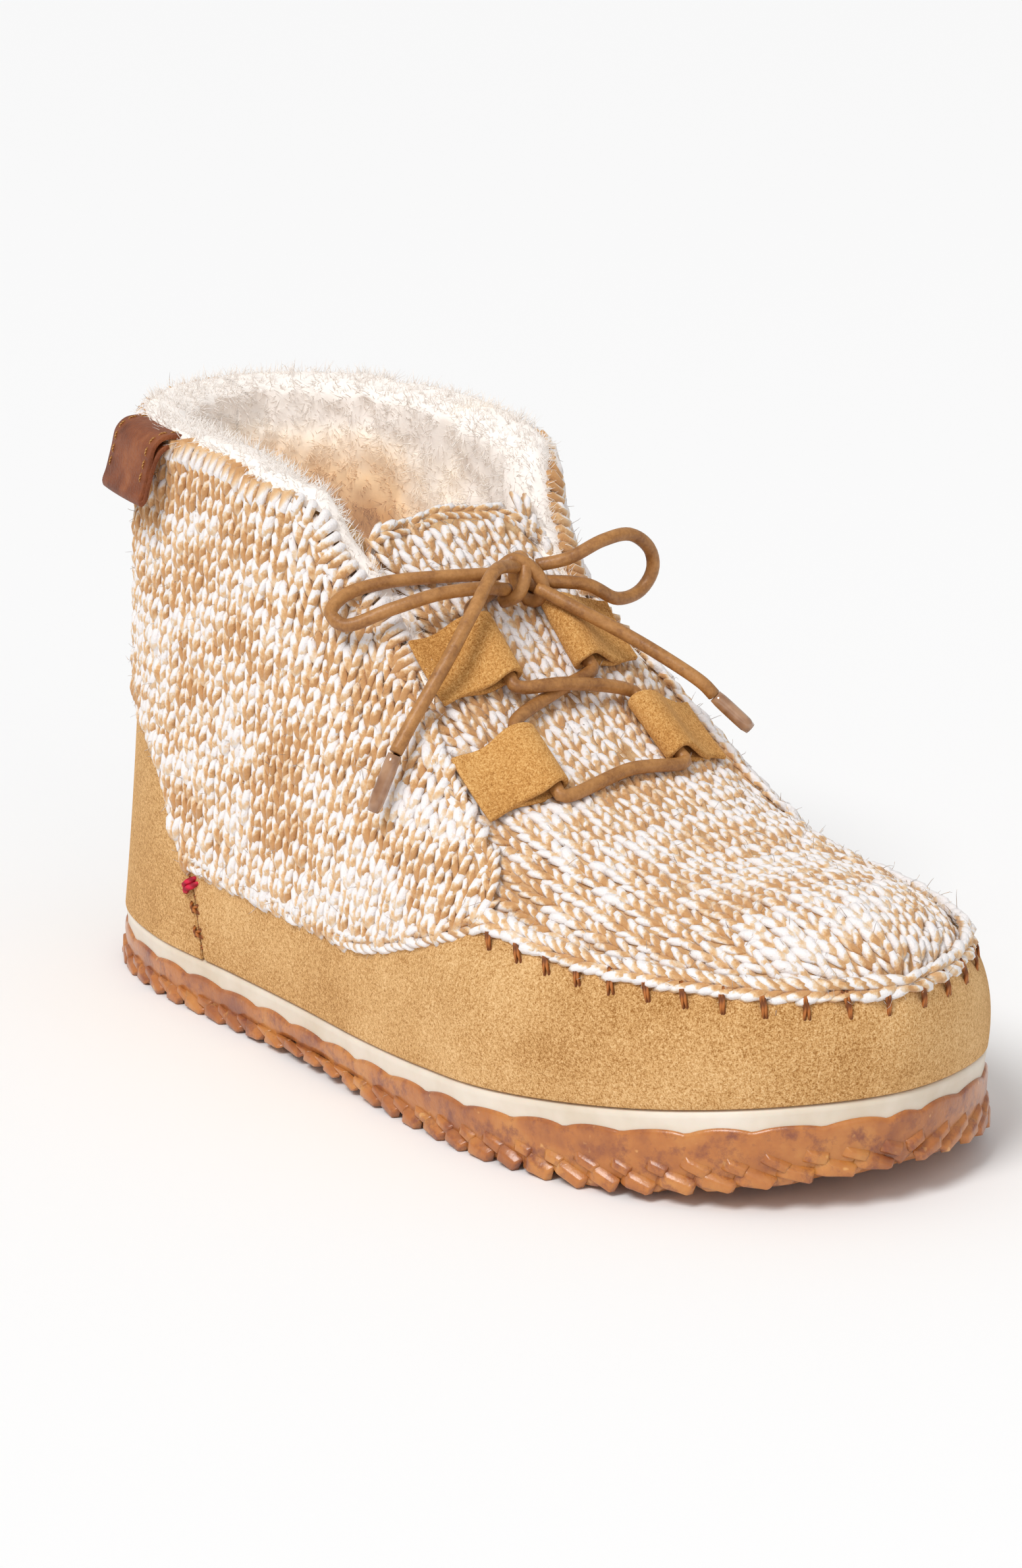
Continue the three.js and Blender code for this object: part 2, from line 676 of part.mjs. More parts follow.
function knot() {
  const ball = new THREE.IcosahedronGeometry(KNOT.radius, 1);
  ball.translate(KNOT.x, KNOT.y, KNOT.z);
  return ball;
}

// Leather strap over the collar, folded to a loop that hangs down outside.
function pullTab() {
  const collar = topEdge(LATERAL, PULL.row);
  const along = topEdge(LATERAL, PULL.row + 0.1).sub(topEdge(LATERAL, PULL.row - 0.1)).setZ(0).normalize();
  const out = new THREE.Vector3(along.y, -along.x, 0);
  const frame = new THREE.Matrix4().makeBasis(out, new THREE.Vector3(0, 0, 1), along.clone().negate());
  frame.setPosition(collar);
  const round = PULL.thick + PULL.slot / 2;
  const strap = stadium(PULL.reach, round);
  strap.holes.push(stadium(PULL.reach - 2 * PULL.thick, PULL.slot / 2));
  const loop = new THREE.ExtrudeGeometry(strap, { depth: PULL.wide, bevelEnabled: false, curveSegments: 5 });
  loop.translate(0, 0, -PULL.wide / 2);
  loop.rotateZ(-THREE.MathUtils.degToRad(PULL.lean));
  loop.translate(QUARTER_STEP + round + PULL.clear, 0, 0);
  const over = new THREE.BoxGeometry(PULL.over, PULL.thick, PULL.wide);
  over.translate(QUARTER_STEP + 2 * round + PULL.clear - 0.5 - PULL.over / 2, PULL.clear + PULL.thick / 2, 0);
  return geometryOf(plainSolid(loop.applyMatrix4(frame)).add(plainSolid(over.applyMatrix4(frame))));
}

function stadium(length, radius) {
  const straight = length - 2 * radius;
  const shape = new THREE.Shape();
  shape.absarc(0, 0, radius, Math.PI / 2, (3 * Math.PI) / 2);
  shape.absarc(straight, 0, radius, -Math.PI / 2, Math.PI / 2);
  return shape;
}

addPiece("outsole", outsole(), GUM);
addPiece("midsole", midsole(), CREAM);
addPiece("insole", insole(), FLEECE);
addPiece("upper", geometryOf(upper()), KNIT);
addPiece("tongue", geometryOf(tongue()), KNIT);
addPiece("heel_counter", geometryOf(heelCounter()), SUEDE_TAN);
addPiece("rand", geometryOf(rand()), SUEDE_TAN);
addPiece("pull_tab", pullTab(), LEATHER);
const nearQuarters = shell(-1, QUARTER_STEP + 1).intersect(sideBlock(quarterCorners, GAP, -GAP));
const keepOut = nearQuarters.add(shell(-2, GAP));
for (const tab of LACE_TABS) {
  addPiece(`lace_tab_${tab.name}`, geometryOf(laceTab(tab, keepOut)), SUEDE_TAN);
}
addPiece("lace_bars", laceBars(), WAXED_CORD);
addPiece("lace_knot", knot(), WAXED_CORD);
addPiece("lace_loop_lateral", looseCord(LOOP_LATERAL, 24), WAXED_CORD);
addPiece("lace_loop_medial", looseCord(LOOP_MEDIAL, 22), WAXED_CORD);
addPiece("lace_end_lateral", laceEnd(END_LATERAL), WAXED_CORD);
addPiece("lace_end_medial", laceEnd(END_MEDIAL), WAXED_CORD);
addPiece("aglet_lateral", aglet(END_LATERAL, AGLET_TIPS.lateral), CLEAR_TIP);
addPiece("aglet_medial", aglet(END_MEDIAL, AGLET_TIPS.medial), CLEAR_TIP);

export default group;
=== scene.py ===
# %% [markdown]
# # A knitted slipper boot for the right foot
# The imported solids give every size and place. This lesson dresses them with a gum sole, suede, yarn, fleece
# and a lace. The frame is loaded first, because each piece is measured from it and rides on its one body.

# %% Load the frame
import math

import bpy
import numpy as np
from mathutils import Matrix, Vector


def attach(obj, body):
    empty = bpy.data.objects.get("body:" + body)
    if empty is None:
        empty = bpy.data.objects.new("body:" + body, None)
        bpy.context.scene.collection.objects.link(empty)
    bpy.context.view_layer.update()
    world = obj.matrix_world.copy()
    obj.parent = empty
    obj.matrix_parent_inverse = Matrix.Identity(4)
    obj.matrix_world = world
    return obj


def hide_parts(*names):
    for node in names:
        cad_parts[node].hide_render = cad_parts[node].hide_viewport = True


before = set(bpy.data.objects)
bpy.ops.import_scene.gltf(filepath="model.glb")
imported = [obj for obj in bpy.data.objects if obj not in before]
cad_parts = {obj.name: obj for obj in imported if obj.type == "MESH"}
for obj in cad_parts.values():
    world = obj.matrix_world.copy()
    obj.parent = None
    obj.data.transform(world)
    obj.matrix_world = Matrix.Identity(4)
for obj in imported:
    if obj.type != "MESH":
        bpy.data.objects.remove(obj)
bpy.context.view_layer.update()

MM = 0.001
BODY = "root"
LATERAL = -1
MEDIAL = 1
SIDES = (LATERAL, MEDIAL)

# %% [markdown]
# ## Camera, floor and light
# The boot was photographed from its outer front quarter, a little above the ankle. A long lens keeps the
# upright lines straight. The floor is a flat sheet of pale paper. One wide sun from the left throws the soft
# shadow to the right, a weak lamp in front lights the toe, and a bright world fills the rest.

# %% Camera
CAMERA_PLACE = Vector((0.9401, -0.7239, 0.3954))
AIM = Vector((0.0, -0.004, 0.062))
LENS = 128.0
SENSOR_WIDTH = 36.0
NEAREST = 0.05


def add_camera():
    bpy.ops.object.camera_add(location=CAMERA_PLACE)
    camera = bpy.context.object
    camera.name = "photo_camera"
    camera.rotation_euler = (AIM - CAMERA_PLACE).to_track_quat("-Z", "Y").to_euler()
    camera.data.lens = LENS
    camera.data.sensor_width = SENSOR_WIDTH
    camera.data.sensor_fit = "AUTO"
    camera.data.clip_start = NEAREST
    bpy.context.scene.camera = camera
    return camera


camera = add_camera()
print("camera at", tuple(round(v, 3) for v in camera.location), "lens", camera.data.lens)

# %% Node helpers
def feed(tree, socket, value):
    """Links a socket to another, or sets a constant on it."""
    if isinstance(value, bpy.types.NodeSocket):
        tree.links.new(value, socket)
    else:
        socket.default_value = value


def add_node(tree, kind, inputs=None, **settings):
    made = tree.nodes.new(kind)
    for key, value in settings.items():
        setattr(made, key, value)
    for key, value in (inputs or {}).items():
        feed(tree, made.inputs[key], value)
    return made


def linear(red, green, blue):
    """A screen colour, 0 to 255, as the linear colour that a shader works with."""
    channels = [value / 255 for value in (red, green, blue)]
    bent = [c / 12.92 if c <= 0.04045 else ((c + 0.055) / 1.055) ** 2.4 for c in channels]
    return (*bent, 1.0)


def new_material(name, inputs):
    made = bpy.data.materials.new(name)
    made.use_nodes = True
    shader = made.node_tree.nodes["Principled BSDF"]
    for key, value in inputs.items():
        shader.inputs[key].default_value = value
    return made, made.node_tree, shader


print("node helpers ready, white paper is", [round(value, 3) for value in linear(250, 250, 250)])


# %% Pattern helpers
FULL_TURN = 2 * math.pi


def object_place(tree):
    return add_node(tree, "ShaderNodeTexCoord").outputs["Object"]


def along_and_around(tree):
    """The two directions of a strand's own UV map."""
    uv = add_node(tree, "ShaderNodeUVMap", uv_map="yarn").outputs["UV"]
    split = add_node(tree, "ShaderNodeSeparateXYZ", {"Vector": uv})
    return split.outputs[0], split.outputs[1]


def noise(tree, place, scale, detail, rough):
    inputs = {"Vector": place, "Scale": scale, "Detail": detail, "Roughness": rough}
    return add_node(tree, "ShaderNodeTexNoise", inputs).outputs["Fac"]


def ramp(tree, factor, stops):
    made = add_node(tree, "ShaderNodeValToRGB", {"Fac": factor})
    band = made.color_ramp
    while len(band.elements) < len(stops):
        band.elements.new(0.5)
    for element, (position, colour) in zip(band.elements, stops):
        element.position = position
        element.color = colour
    return made.outputs["Color"]


def paint(tree, shader, factor, stops):
    """Base colour from a ramp over a pattern."""
    tree.links.new(ramp(tree, factor, stops), shader.inputs["Base Color"])


def mix_colour(tree, factor, first, second):
    made = add_node(tree, "ShaderNodeMix", data_type="RGBA")
    for number, value in ((0, factor), (6, first), (7, second)):
        feed(tree, made.inputs[number], value)
    return made.outputs[2]


def math_node(tree, operation, *values):
    made = add_node(tree, "ShaderNodeMath", operation=operation)
    for socket, value in zip(made.inputs, values):
        feed(tree, socket, value)
    return made.outputs[0]


def plus(tree, base, extra, weight):
    """base + extra * weight"""
    return math_node(tree, "ADD", base, math_node(tree, "MULTIPLY", extra, weight))


def blend(tree, first, first_weight, second, second_weight):
    return plus(tree, math_node(tree, "MULTIPLY", first, first_weight), second, second_weight)


def ripple(tree, turns):
    """A sine wave that repeats once per turn."""
    return math_node(tree, "SINE", math_node(tree, "MULTIPLY", turns, FULL_TURN))


def add_bump(tree, shader, height, distance, strength=1.0):
    inputs = {"Height": height, "Distance": distance, "Strength": strength}
    tree.links.new(add_node(tree, "ShaderNodeBump", inputs).outputs["Normal"], shader.inputs["Normal"])


print("pattern helpers ready, one turn is", round(FULL_TURN, 4))

# %% Floor and lamps
PAPER = linear(250, 250, 250)
FLOOR = {"size": 8.0, "z": -0.0002}
LIT_PLACE = Vector((0, 0, 0.05))
KEY_ANGLE = math.radians(24)
FRONT_SIZE = 1.2
WORLD_LIGHT = 0.55


def deselect():
    if bpy.context.object and bpy.context.object.mode != "OBJECT":
        bpy.ops.object.mode_set(mode="OBJECT")
    bpy.ops.object.select_all(action="DESELECT")


def add_floor():
    deselect()
    bpy.ops.mesh.primitive_plane_add(size=FLOOR["size"], location=(0, 0, FLOOR["z"]))
    floor = bpy.context.object
    floor.name = "studio_floor"
    paper = new_material("studio_paper", {"Base Color": PAPER, "Roughness": 0.9})[0]
    floor.data.materials.append(paper)
    return floor


def add_lamp(kind, name, place, power):
    """A lamp at a place, turned to the middle of the boot."""
    deselect()
    bpy.ops.object.light_add(type=kind, location=place)
    lamp = bpy.context.object
    lamp.name = name
    lamp.data.energy = power
    lamp.rotation_euler = (LIT_PLACE - Vector(place)).to_track_quat("-Z", "Y").to_euler()
    return lamp


def light_world(strength):
    world = bpy.context.scene.world or bpy.data.worlds.new("studio_world")
    bpy.context.scene.world = world
    world.use_nodes = True
    sky = world.node_tree.nodes["Background"]
    sky.inputs["Color"].default_value = (1.0, 1.0, 1.0, 1.0)
    sky.inputs["Strength"].default_value = strength


floor = add_floor()
key_lamp = add_lamp("SUN", "key_lamp", (0.35, -1.1, 1.4), 1.85)
key_lamp.data.angle = KEY_ANGLE
front_lamp = add_lamp("AREA", "front_lamp", (1.5, -0.5, 0.9), 2.5)
front_lamp.data.size = FRONT_SIZE
light_world(WORLD_LIGHT)
bpy.context.scene.view_settings.view_transform = "Standard"
print("stage", floor.name, key_lamp.name, front_lamp.name)

# %% [markdown]
# ## The last
# A shoemaker pulls the upper over a wooden last. Here the last is a function: a place on it is a side, a row
# from heel (0) to toe (11) and a level from the sole (0) to the top edge (1). The tables repeat the part's
# own, in millimetres, so the yarn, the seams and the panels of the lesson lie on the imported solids.

# %% Tables of the last
GAP = 0.3
QUARTER_STEP = 2.5
SUEDE = 1.6
FEATHER_INSET = 3.0
RIDGE_ROW = 7
END_ROW = 11
OUTLINE = {
    "along": [-129, -121.5, -108.5, -85, -52, -20, 6, 30, 54, 92, 117.4, 129],
    "lateral": [-1, 24.5, 36, 43.5, 45.5, 48, 51, 53, 53.4, 44.5, 26.5, -0.5],
    "medial": [1, 25, 35.5, 40.5, 38.5, 38.5, 43, 49.5, 53.4, 50.5, 33, 0.5],
}
HEIGHTS = {
    "along": [-129, -100, -40, 10, 54, 92, 117, 129],
    "gum": [8.2, 7.7, 7.4, 7.8, 10, 14.1, 17.5, 18.9],
    "seat": [13.4, 13, 12.8, 13.2, 15.4, 19.5, 22.9, 24.3],
}
LAST = {
    "x": [-119, -116.4, -104.5, -87, -56, -35, -22, -24, 24, 66, 90, 98],
    "lateral": [0, 12.8, 28, 36.5, 40, 39, 25, 5, 4, 0, -1, -1],
    "medial": [0, 12.3, 27, 34, 34.5, 32, 16, -5, -4, 0, 1, 1],
    "z": [130.5, 130.5, 130.5, 130, 129.5, 125.5, 119, 120, 80.5, 61.5, 60.5, 60],
    "rise": [36, 36, 36, 36, 36, 38, 44, 52, 40, 30, 27, 25],
    "lean": [-4, -4, -4, -1, 1, 1, 1, 2, 2, 3, 2.5, 2.5],
    "pull_x": [-1.5, -1.4, -1, -0.5, 0, 2, 8, 10, 7, 4, 16, 24],
    "pull_y": [0, 0.7, 1, 1.5, 2, 3, 12, 18, 24, 32, 22, 0],
    "pull_z": [-40, -40, -40, -40, -40, -34, -20, -8, -5.5, 0, 0, 0],
}
HEEL_BEVEL = {"start": -112, "length": 17, "lift": 2.5}
ARCH = {"rear": -58, "front": 26, "lift": 1.8}
TOE_SPRING = {"start": 74, "length": 55, "lift": 8.6, "power": 1.7}
LEVEL_FOOT = 0.08
ROWS = np.arange(END_ROW + 1.0)
print("last rows", len(ROWS))

# %% Curves through the tables
def smooth_curve(knots, values, at):
    """Values of a smooth curve through the knots of a table."""
    knots = np.asarray(knots, float)
    values = np.asarray(values, float)
    at = np.asarray(at, float)
    slopes = np.empty_like(values)
    slopes[1:-1] = (values[2:] - values[:-2]) / (knots[2:] - knots[:-2])
    slopes[0] = (values[1] - values[0]) / (knots[1] - knots[0])
    slopes[-1] = (values[-1] - values[-2]) / (knots[-1] - knots[-2])
    i = np.clip(np.searchsorted(knots, at, side="left") - 1, 0, len(knots) - 2)
    span = knots[i + 1] - knots[i]
    t = np.clip((at - knots[i]) / span, 0, 1)
    ease = t * t * (3 - 2 * t)
    leave = t * (1 - t) ** 2 * slopes[i] * span
    arrive = t * t * (1 - t) * slopes[i + 1] * span
    return values[i] + (values[i + 1] - values[i]) * ease + leave - arrive


def spline_pieces(points, closed):
    """Coefficients of a centripetal Catmull-Rom curve, one piece per span."""
    if closed:
        ring = np.concatenate([points[-1:], points, points[:2]])
    else:
        ring = np.concatenate([2 * points[:1] - points[1:2], points, 2 * points[-1:] - points[-2:-1]])
    steps = np.sqrt(np.linalg.norm(np.diff(ring, axis=0), axis=1))[:, None]
    a, b, c, d = ring[:-3], ring[1:-2], ring[2:-1], ring[3:]
    before, here, after = steps[:-2], steps[1:-1], steps[2:]
    leave = ((b - a) / before - (c - a) / (before + here) + (c - b) / here) * here
    arrive = ((c - b) / here - (d - b) / (here + after) + (d - c) / after) * here
    return np.stack([b, leave, -3 * b + 3 * c - 2 * leave - arrive, 2 * b - 2 * c + leave + arrive])


def spline_at(pieces, place):
    """Points and headings of the curve."""
    i = np.clip(np.floor(place).astype(int), 0, pieces.shape[1] - 1)
    w = (np.asarray(place, float) - i)[..., None]
    a, b, c, d = (pieces[k][i] for k in range(4))
    return a + w * (b + w * (c + w * d)), b + w * (2 * c + 3 * w * d)


def run_along(points):
    """Length of a polyline up to each of its points."""
    return np.concatenate([[0], np.cumsum(np.linalg.norm(np.diff(points, axis=0), axis=1))])


print("collar half way to row 3:", np.round(smooth_curve(ROWS, LAST["x"], 2.5), 1), "mm along")


# %% Outline and heights
def outline_points():
    lateral = np.column_stack([OUTLINE["along"], -np.array(OUTLINE["lateral"], float)])
    medial = np.column_stack([OUTLINE["along"], np.array(OUTLINE["medial"], float)])
    return np.concatenate([lateral, medial[-2:0:-1]])


OUTLINE_PIECES = spline_pieces(outline_points(), True)
OUTLINE_SPANS = 2 * END_ROW


def rim(side, row, inset):
    """Plan of the sole's outline, moved inwards."""
    row = np.asarray(row, float)
    turn = row if side == LATERAL else (OUTLINE_SPANS - row) % OUTLINE_SPANS
    point, heading = spline_at(OUTLINE_PIECES, turn)
    heading = heading / np.linalg.norm(heading, axis=-1, keepdims=True)
    inset = np.asarray(inset, float)
    return np.stack([point[..., 0] - heading[..., 1] * inset, point[..., 1] + heading[..., 0] * inset], -1)


def ground(x):
    """Height of the tread: flat, with a heel bevel, an arch and a toe spring."""
    heel = HEEL_BEVEL["lift"] * (np.maximum(HEEL_BEVEL["start"] - x, 0) / HEEL_BEVEL["length"]) ** 2
    toe_way = np.maximum(x - TOE_SPRING["start"], 0) / TOE_SPRING["length"]
    toe = TOE_SPRING["lift"] * toe_way ** TOE_SPRING["power"]
    along = np.clip((x - ARCH["rear"]) / (ARCH["front"] - ARCH["rear"]), 0, 1)
    return heel + toe + ARCH["lift"] * np.sin(np.pi * along) ** 2


def gum_top(x):
    return smooth_curve(HEIGHTS["along"], HEIGHTS["gum"], x)


def seat_top(x):
    return smooth_curve(HEIGHTS["along"], HEIGHTS["seat"], x)


print("toe spring", np.round(ground(np.array([129.0])), 1), "outline spans", OUTLINE_SPANS)


# %% Points of the last
def top_edge(side, row):
    """The collar's edge back to row 7, and the ridge of the foot from there to the toe."""
    def read(column):
        collar = smooth_curve(ROWS[: RIDGE_ROW + 1], LAST[column][: RIDGE_ROW + 1], row)
        ridge = smooth_curve(ROWS[RIDGE_ROW:], LAST[column][RIDGE_ROW:], row)
        return np.where(row <= RIDGE_ROW, collar, ridge)

    across = -read("lateral") if side == LATERAL else read("medial")
    return np.stack([read("x"), across, read("z")], -1)


def last(side, row, level):
    """Point of the last in millimetres."""
    row, level = np.broadcast_arrays(np.asarray(row, float), np.asarray(level, float))

    def read(column):
        return smooth_curve(ROWS, LAST[column], row)

    foot = rim(side, row, FEATHER_INSET)
    seat = seat_top(foot[..., 0]) + GAP
    foot = np.concatenate([foot, seat[..., None]], -1)
    lean = rim(side, row, FEATHER_INSET - read("lean"))
    wall = np.concatenate([lean, (seat + read("rise"))[..., None]], -1)
    top = top_edge(side, row)
    pull = top + np.stack([read("pull_x"), side * read("pull_y"), read("pull_z")], -1)
    t = level[..., None]
    return (1 - t) ** 3 * foot + 3 * (1 - t) ** 2 * t * wall + 3 * (1 - t) * t * t * pull + t ** 3 * top


def unit(vectors):
    return vectors / np.maximum(np.linalg.norm(vectors, axis=-1, keepdims=True), 1e-9)


def outward(side, row, level):
    """Direction out of the boot; level at the sole's edge, so that no piece dips into the sole."""
    step = 0.01
    row = np.asarray(row, float)
    low = np.clip(level, step, 1 - step)
    ahead = np.minimum(row + step, END_ROW)
    behind = np.maximum(row - step, 0)
    forward = last(side, ahead, low) - last(side, behind, low)
    up = last(side, row, low + step) - last(side, row, low - step)
    out = unit(np.cross(forward, up) * -side)
    out[..., 2] *= np.clip(np.asarray(level) / LEVEL_FOOT, 0, 1)
    return unit(out)


def on_last(side, row, level, lift):
    """Point of the last, lifted off it by a number or by one number per point."""
    lift = np.asarray(lift, float)
    return last(side, row, level) + outward(side, row, level) * lift[..., None]


print("collar at the heel", np.round(last(LATERAL, 0.0, 1.0), 1))
print("edge at the toe", np.round(last(LATERAL, END_ROW, 0.0), 1))

# %% [markdown]
# ## Places on the last
# The panels were drawn in side view, the tabs and the tongue in plan. A dense net over the last turns such a
# drawing into places on its skin: the nearest knot of the net is found first, and a few Newton steps finish
# the search.

# %% Panel edges
COUNTER_EDGE = [(-62, 8), (-66, 28), (-70, 34.8), (-74, 42), (-78, 48), (-82, 54.5), (-88, 60), (-100, 64),
                (-114, 66), (-145, 67)]
QUARTER_LOWER = [(-60, 35), (-2, 34.8), (6, 35.5), (16, 38), (30, 43), (40, 47)]
QUARTER_FRONT = [(45, 49), (46, 53), (41.5, 60), (33, 66.5), (23, 74.5), (16, 80.5), (9, 86), (2, 91.5),
                 (-5, 97)]
COLLAR_FRONT = [(-12.5, 103), (-17, 107), (-21, 111), (-24.5, 116), (-28, 121.5), (-35, 125), (-40, 136)]
APRON_SEAM = [(49, 48.8), (60, 47.4), (75, 46.4), (90, 46.2), (110, 46.2), (145, 45)]
THROAT = {"centre": -4.5, "half": 20, "straight": 26, "end": 42}
TONGUE_TOP = {"centre": -7, "half": 21, "z": 121, "drop": 9}
NET_ROWS = np.linspace(0, END_ROW, 331)
NET_LEVELS = np.linspace(0, 1, 121)
NET = {side: last(side, NET_ROWS[:, None], NET_LEVELS[None, :]) for side in SIDES}


print("net", NET[LATERAL].shape, "knots each side")

# %% Finding a place
ANKLE_ROW = 5
NEWTON_STEPS = 8
SMALL = 1e-3
LARGEST_STEP = {"row": 0.2, "level": 0.05}


def nearest_knots(side, wanted, axes, row_range):
    keep = (NET_ROWS >= row_range[0]) & (NET_ROWS <= row_range[1])
    flat = NET[side][keep][..., list(axes)].reshape(-1, 2)
    nearest = np.array([int(np.argmin(((flat - point) ** 2).sum(1))) for point in wanted])
    return NET_ROWS[keep][nearest // len(NET_LEVELS)], NET_LEVELS[nearest % len(NET_LEVELS)]


def newton_step(read, row, level, wanted):
    """Changes of row and level that carry read(row, level) to the wanted places."""
    here = read(row, level)
    by_row = (read(row + SMALL, level) - here) / SMALL
    by_level = (read(row, level + SMALL) - here) / SMALL
    miss = wanted - here
    area = by_row[:, 0] * by_level[:, 1] - by_row[:, 1] * by_level[:, 0]
    area = np.where(np.abs(area) < 1e-6, 1e-6, area)
    d_row = (miss[:, 0] * by_level[:, 1] - miss[:, 1] * by_level[:, 0]) / area
    d_level = (by_row[:, 0] * miss[:, 1] - by_row[:, 1] * miss[:, 0]) / area
    return d_row, d_level


def place_on_last(side, first, second, axes, row_range=(0, END_ROW), lift=0.0):
    """Rows and levels where two coordinates of the skin take the given values."""
    def read(row, level):
        return on_last(side, row, level, lift)[:, list(axes)]

    wanted = np.column_stack([np.ravel(first), np.ravel(second)]).astype(float)
    row, level = nearest_knots(side, wanted, axes, row_range)
    for _ in range(NEWTON_STEPS):
        d_row, d_level = newton_step(read, row, level, wanted)
        d_row = np.clip(d_row, -LARGEST_STEP["row"], LARGEST_STEP["row"])
        d_level = np.clip(d_level, -LARGEST_STEP["level"], LARGEST_STEP["level"])
        row = np.clip(row + d_row, row_range[0], row_range[1] - SMALL)
        level = np.clip(level + d_level, 0, 1 - SMALL)
    return row, level


def side_place(side, x, z, lift=0.0):
    return place_on_last(side, x, z, (0, 2), lift=lift)


def plan_place(side, x, y):
    return place_on_last(side, x, y, (0, 1), (ANKLE_ROW, END_ROW))


print("lowest front corner of the quarter at row and level",
      [np.round(value, 3) for value in side_place(LATERAL, *QUARTER_FRONT[0])])


# %% Even steps
def resample(points, step):
    """Points of a polyline at even steps along it."""
    points = np.asarray(points, float)
    run = run_along(points)
    at = np.linspace(0, run[-1], max(int(round(run[-1] / step)), 2) + 1)
    return np.column_stack([np.interp(at, run, points[:, k]) for k in range(points.shape[1])])


def rounded(points, step):
    """Even points on a smooth curve through the corners of a drawing."""
    points = np.asarray(points, float)
    pieces = spline_pieces(points, False)
    dense = spline_at(pieces, np.linspace(0, len(points) - 1, 20 * len(points)))[0]
    return resample(dense, step)


print("points on the quarter's front edge", len(rounded(QUARTER_FRONT, 1.5)))

# %% [markdown]
# ## Mesh helpers
# Wide skins start as a grid primitive whose points are moved onto the last. Yarn, stitches and pile are many
# short strands: they are swept in one go with arrays and joined to one mesh, because thousands of single
# objects would be slow to handle.

# %% Piece helpers
def finish_piece(obj, material, slot, *nodes):
    obj.data.materials.clear()
    obj.data.materials.append(material)
    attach(obj, BODY)
    if nodes:
        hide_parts(*nodes)
    obj.data.update()
    return obj


def read_vertices(obj, name="co"):
    """All points, or normals, of a mesh as rows."""
    values = np.empty(len(obj.data.vertices) * 3)
    obj.data.vertices.foreach_get(name, values)
    return values.reshape(-1, 3)


def add_grid(name, columns, lines, place):
    """Grid primitive with its points moved to place(across, up), both 0 to 1; result in millimetres."""
    deselect()
    bpy.ops.mesh.primitive_grid_add(x_subdivisions=columns, y_subdivisions=lines, size=1.0)
    obj = bpy.context.object
    obj.name = name
    obj.data.name = name
    flat = read_vertices(obj)
    across = np.clip(flat[:, 0] + 0.5, 0, 1)
    up = np.clip(flat[:, 1] + 0.5, 0, 1)
    obj.data.vertices.foreach_set("co", (place(across, up) * MM).ravel())
    obj.data.polygons.foreach_set("use_smooth", np.ones(len(obj.data.polygons), bool))
    obj.data.update()
    return obj


def select_only(obj):
    deselect()
    bpy.context.view_layer.objects.active = obj
    obj.select_set(True)


def apply_modifier(obj, kind, **settings):
    select_only(obj)
    modifier = obj.modifiers.new(kind.lower(), kind)
    for key, value in settings.items():
        setattr(modifier, key, value)
    bpy.ops.object.modifier_apply(modifier=modifier.name)


def edit_all(obj, operator, **settings):
    """Runs an edit-mode operator on a whole mesh."""
    select_only(obj)
    bpy.ops.object.mode_set(mode="EDIT")
    bpy.ops.mesh.select_all(action="SELECT")
    operator(**settings)
    bpy.ops.object.mode_set(mode="OBJECT")


def mesh_from_arrays(name, points, faces):
    mesh = bpy.data.meshes.new(name)
    mesh.from_pydata((np.asarray(points) * MM).tolist(), [], faces)
    mesh.polygons.foreach_set("use_smooth", np.ones(len(mesh.polygons), bool))
    mesh.update()
    obj = bpy.data.objects.new(name, mesh)
    bpy.context.collection.objects.link(obj)
    return obj


def triangles(obj):
    return sum(len(p.vertices) - 2 for p in obj.data.polygons)


print("piece helpers ready for body", BODY)


# %% Strand helpers
def set_value(obj, name, values):
    attribute = obj.data.attributes.new(name, "FLOAT", "POINT")
    attribute.data.foreach_set("value", np.asarray(values, np.float32).ravel())


def strand_faces(count, rings, sides):
    """Quads along each strand, then its two end caps, with texture places along and around."""
    k, i = np.meshgrid(np.arange(rings - 1), np.arange(sides), indexing="ij")
    nearby = (i + 1) % sides
    quad = np.stack([k * sides + i, (k + 1) * sides + i, (k + 1) * sides + nearby, k * sides + nearby], -1)
    quad = quad.reshape(-1, 4)
    along = np.stack([k, k + 1, k + 1, k], -1).reshape(-1, 4) / (rings - 1)
    around = np.stack([i, i, i + 1, i + 1], -1).reshape(-1, 4) / sides
    start = np.arange(sides)
    caps = np.stack([start, (rings - 1) * sides + start[::-1]])
    shift = np.arange(count)[:, None, None] * rings * sides
    quads = (quad[None] + shift).reshape(-1, 4)
    ends = (caps[None] + shift).reshape(-1, sides)
    uv = np.tile(np.stack([along, around], -1).reshape(-1, 2), (count, 1))
    cap_uv = np.tile(np.repeat(np.array([[0, 0.5], [1, 0.5]]), sides, axis=0), (count, 1))
    return quads.tolist() + ends.tolist(), np.concatenate([uv, cap_uv])


def sweep(paths, radii, sides, ups):
    """Rings of points round each path."""
    tangent = unit(np.gradient(paths, axis=1))
    across = unit(np.cross(tangent, ups))
    up = np.cross(across, tangent)
    angle = 2 * np.pi * np.arange(sides) / sides
    ring = np.cos(angle)[:, None] * across[:, :, None, :] + np.sin(angle)[:, None] * up[:, :, None, :]
    return (paths[:, :, None, :] + ring * radii[:, :, None, None]).reshape(-1, 3)


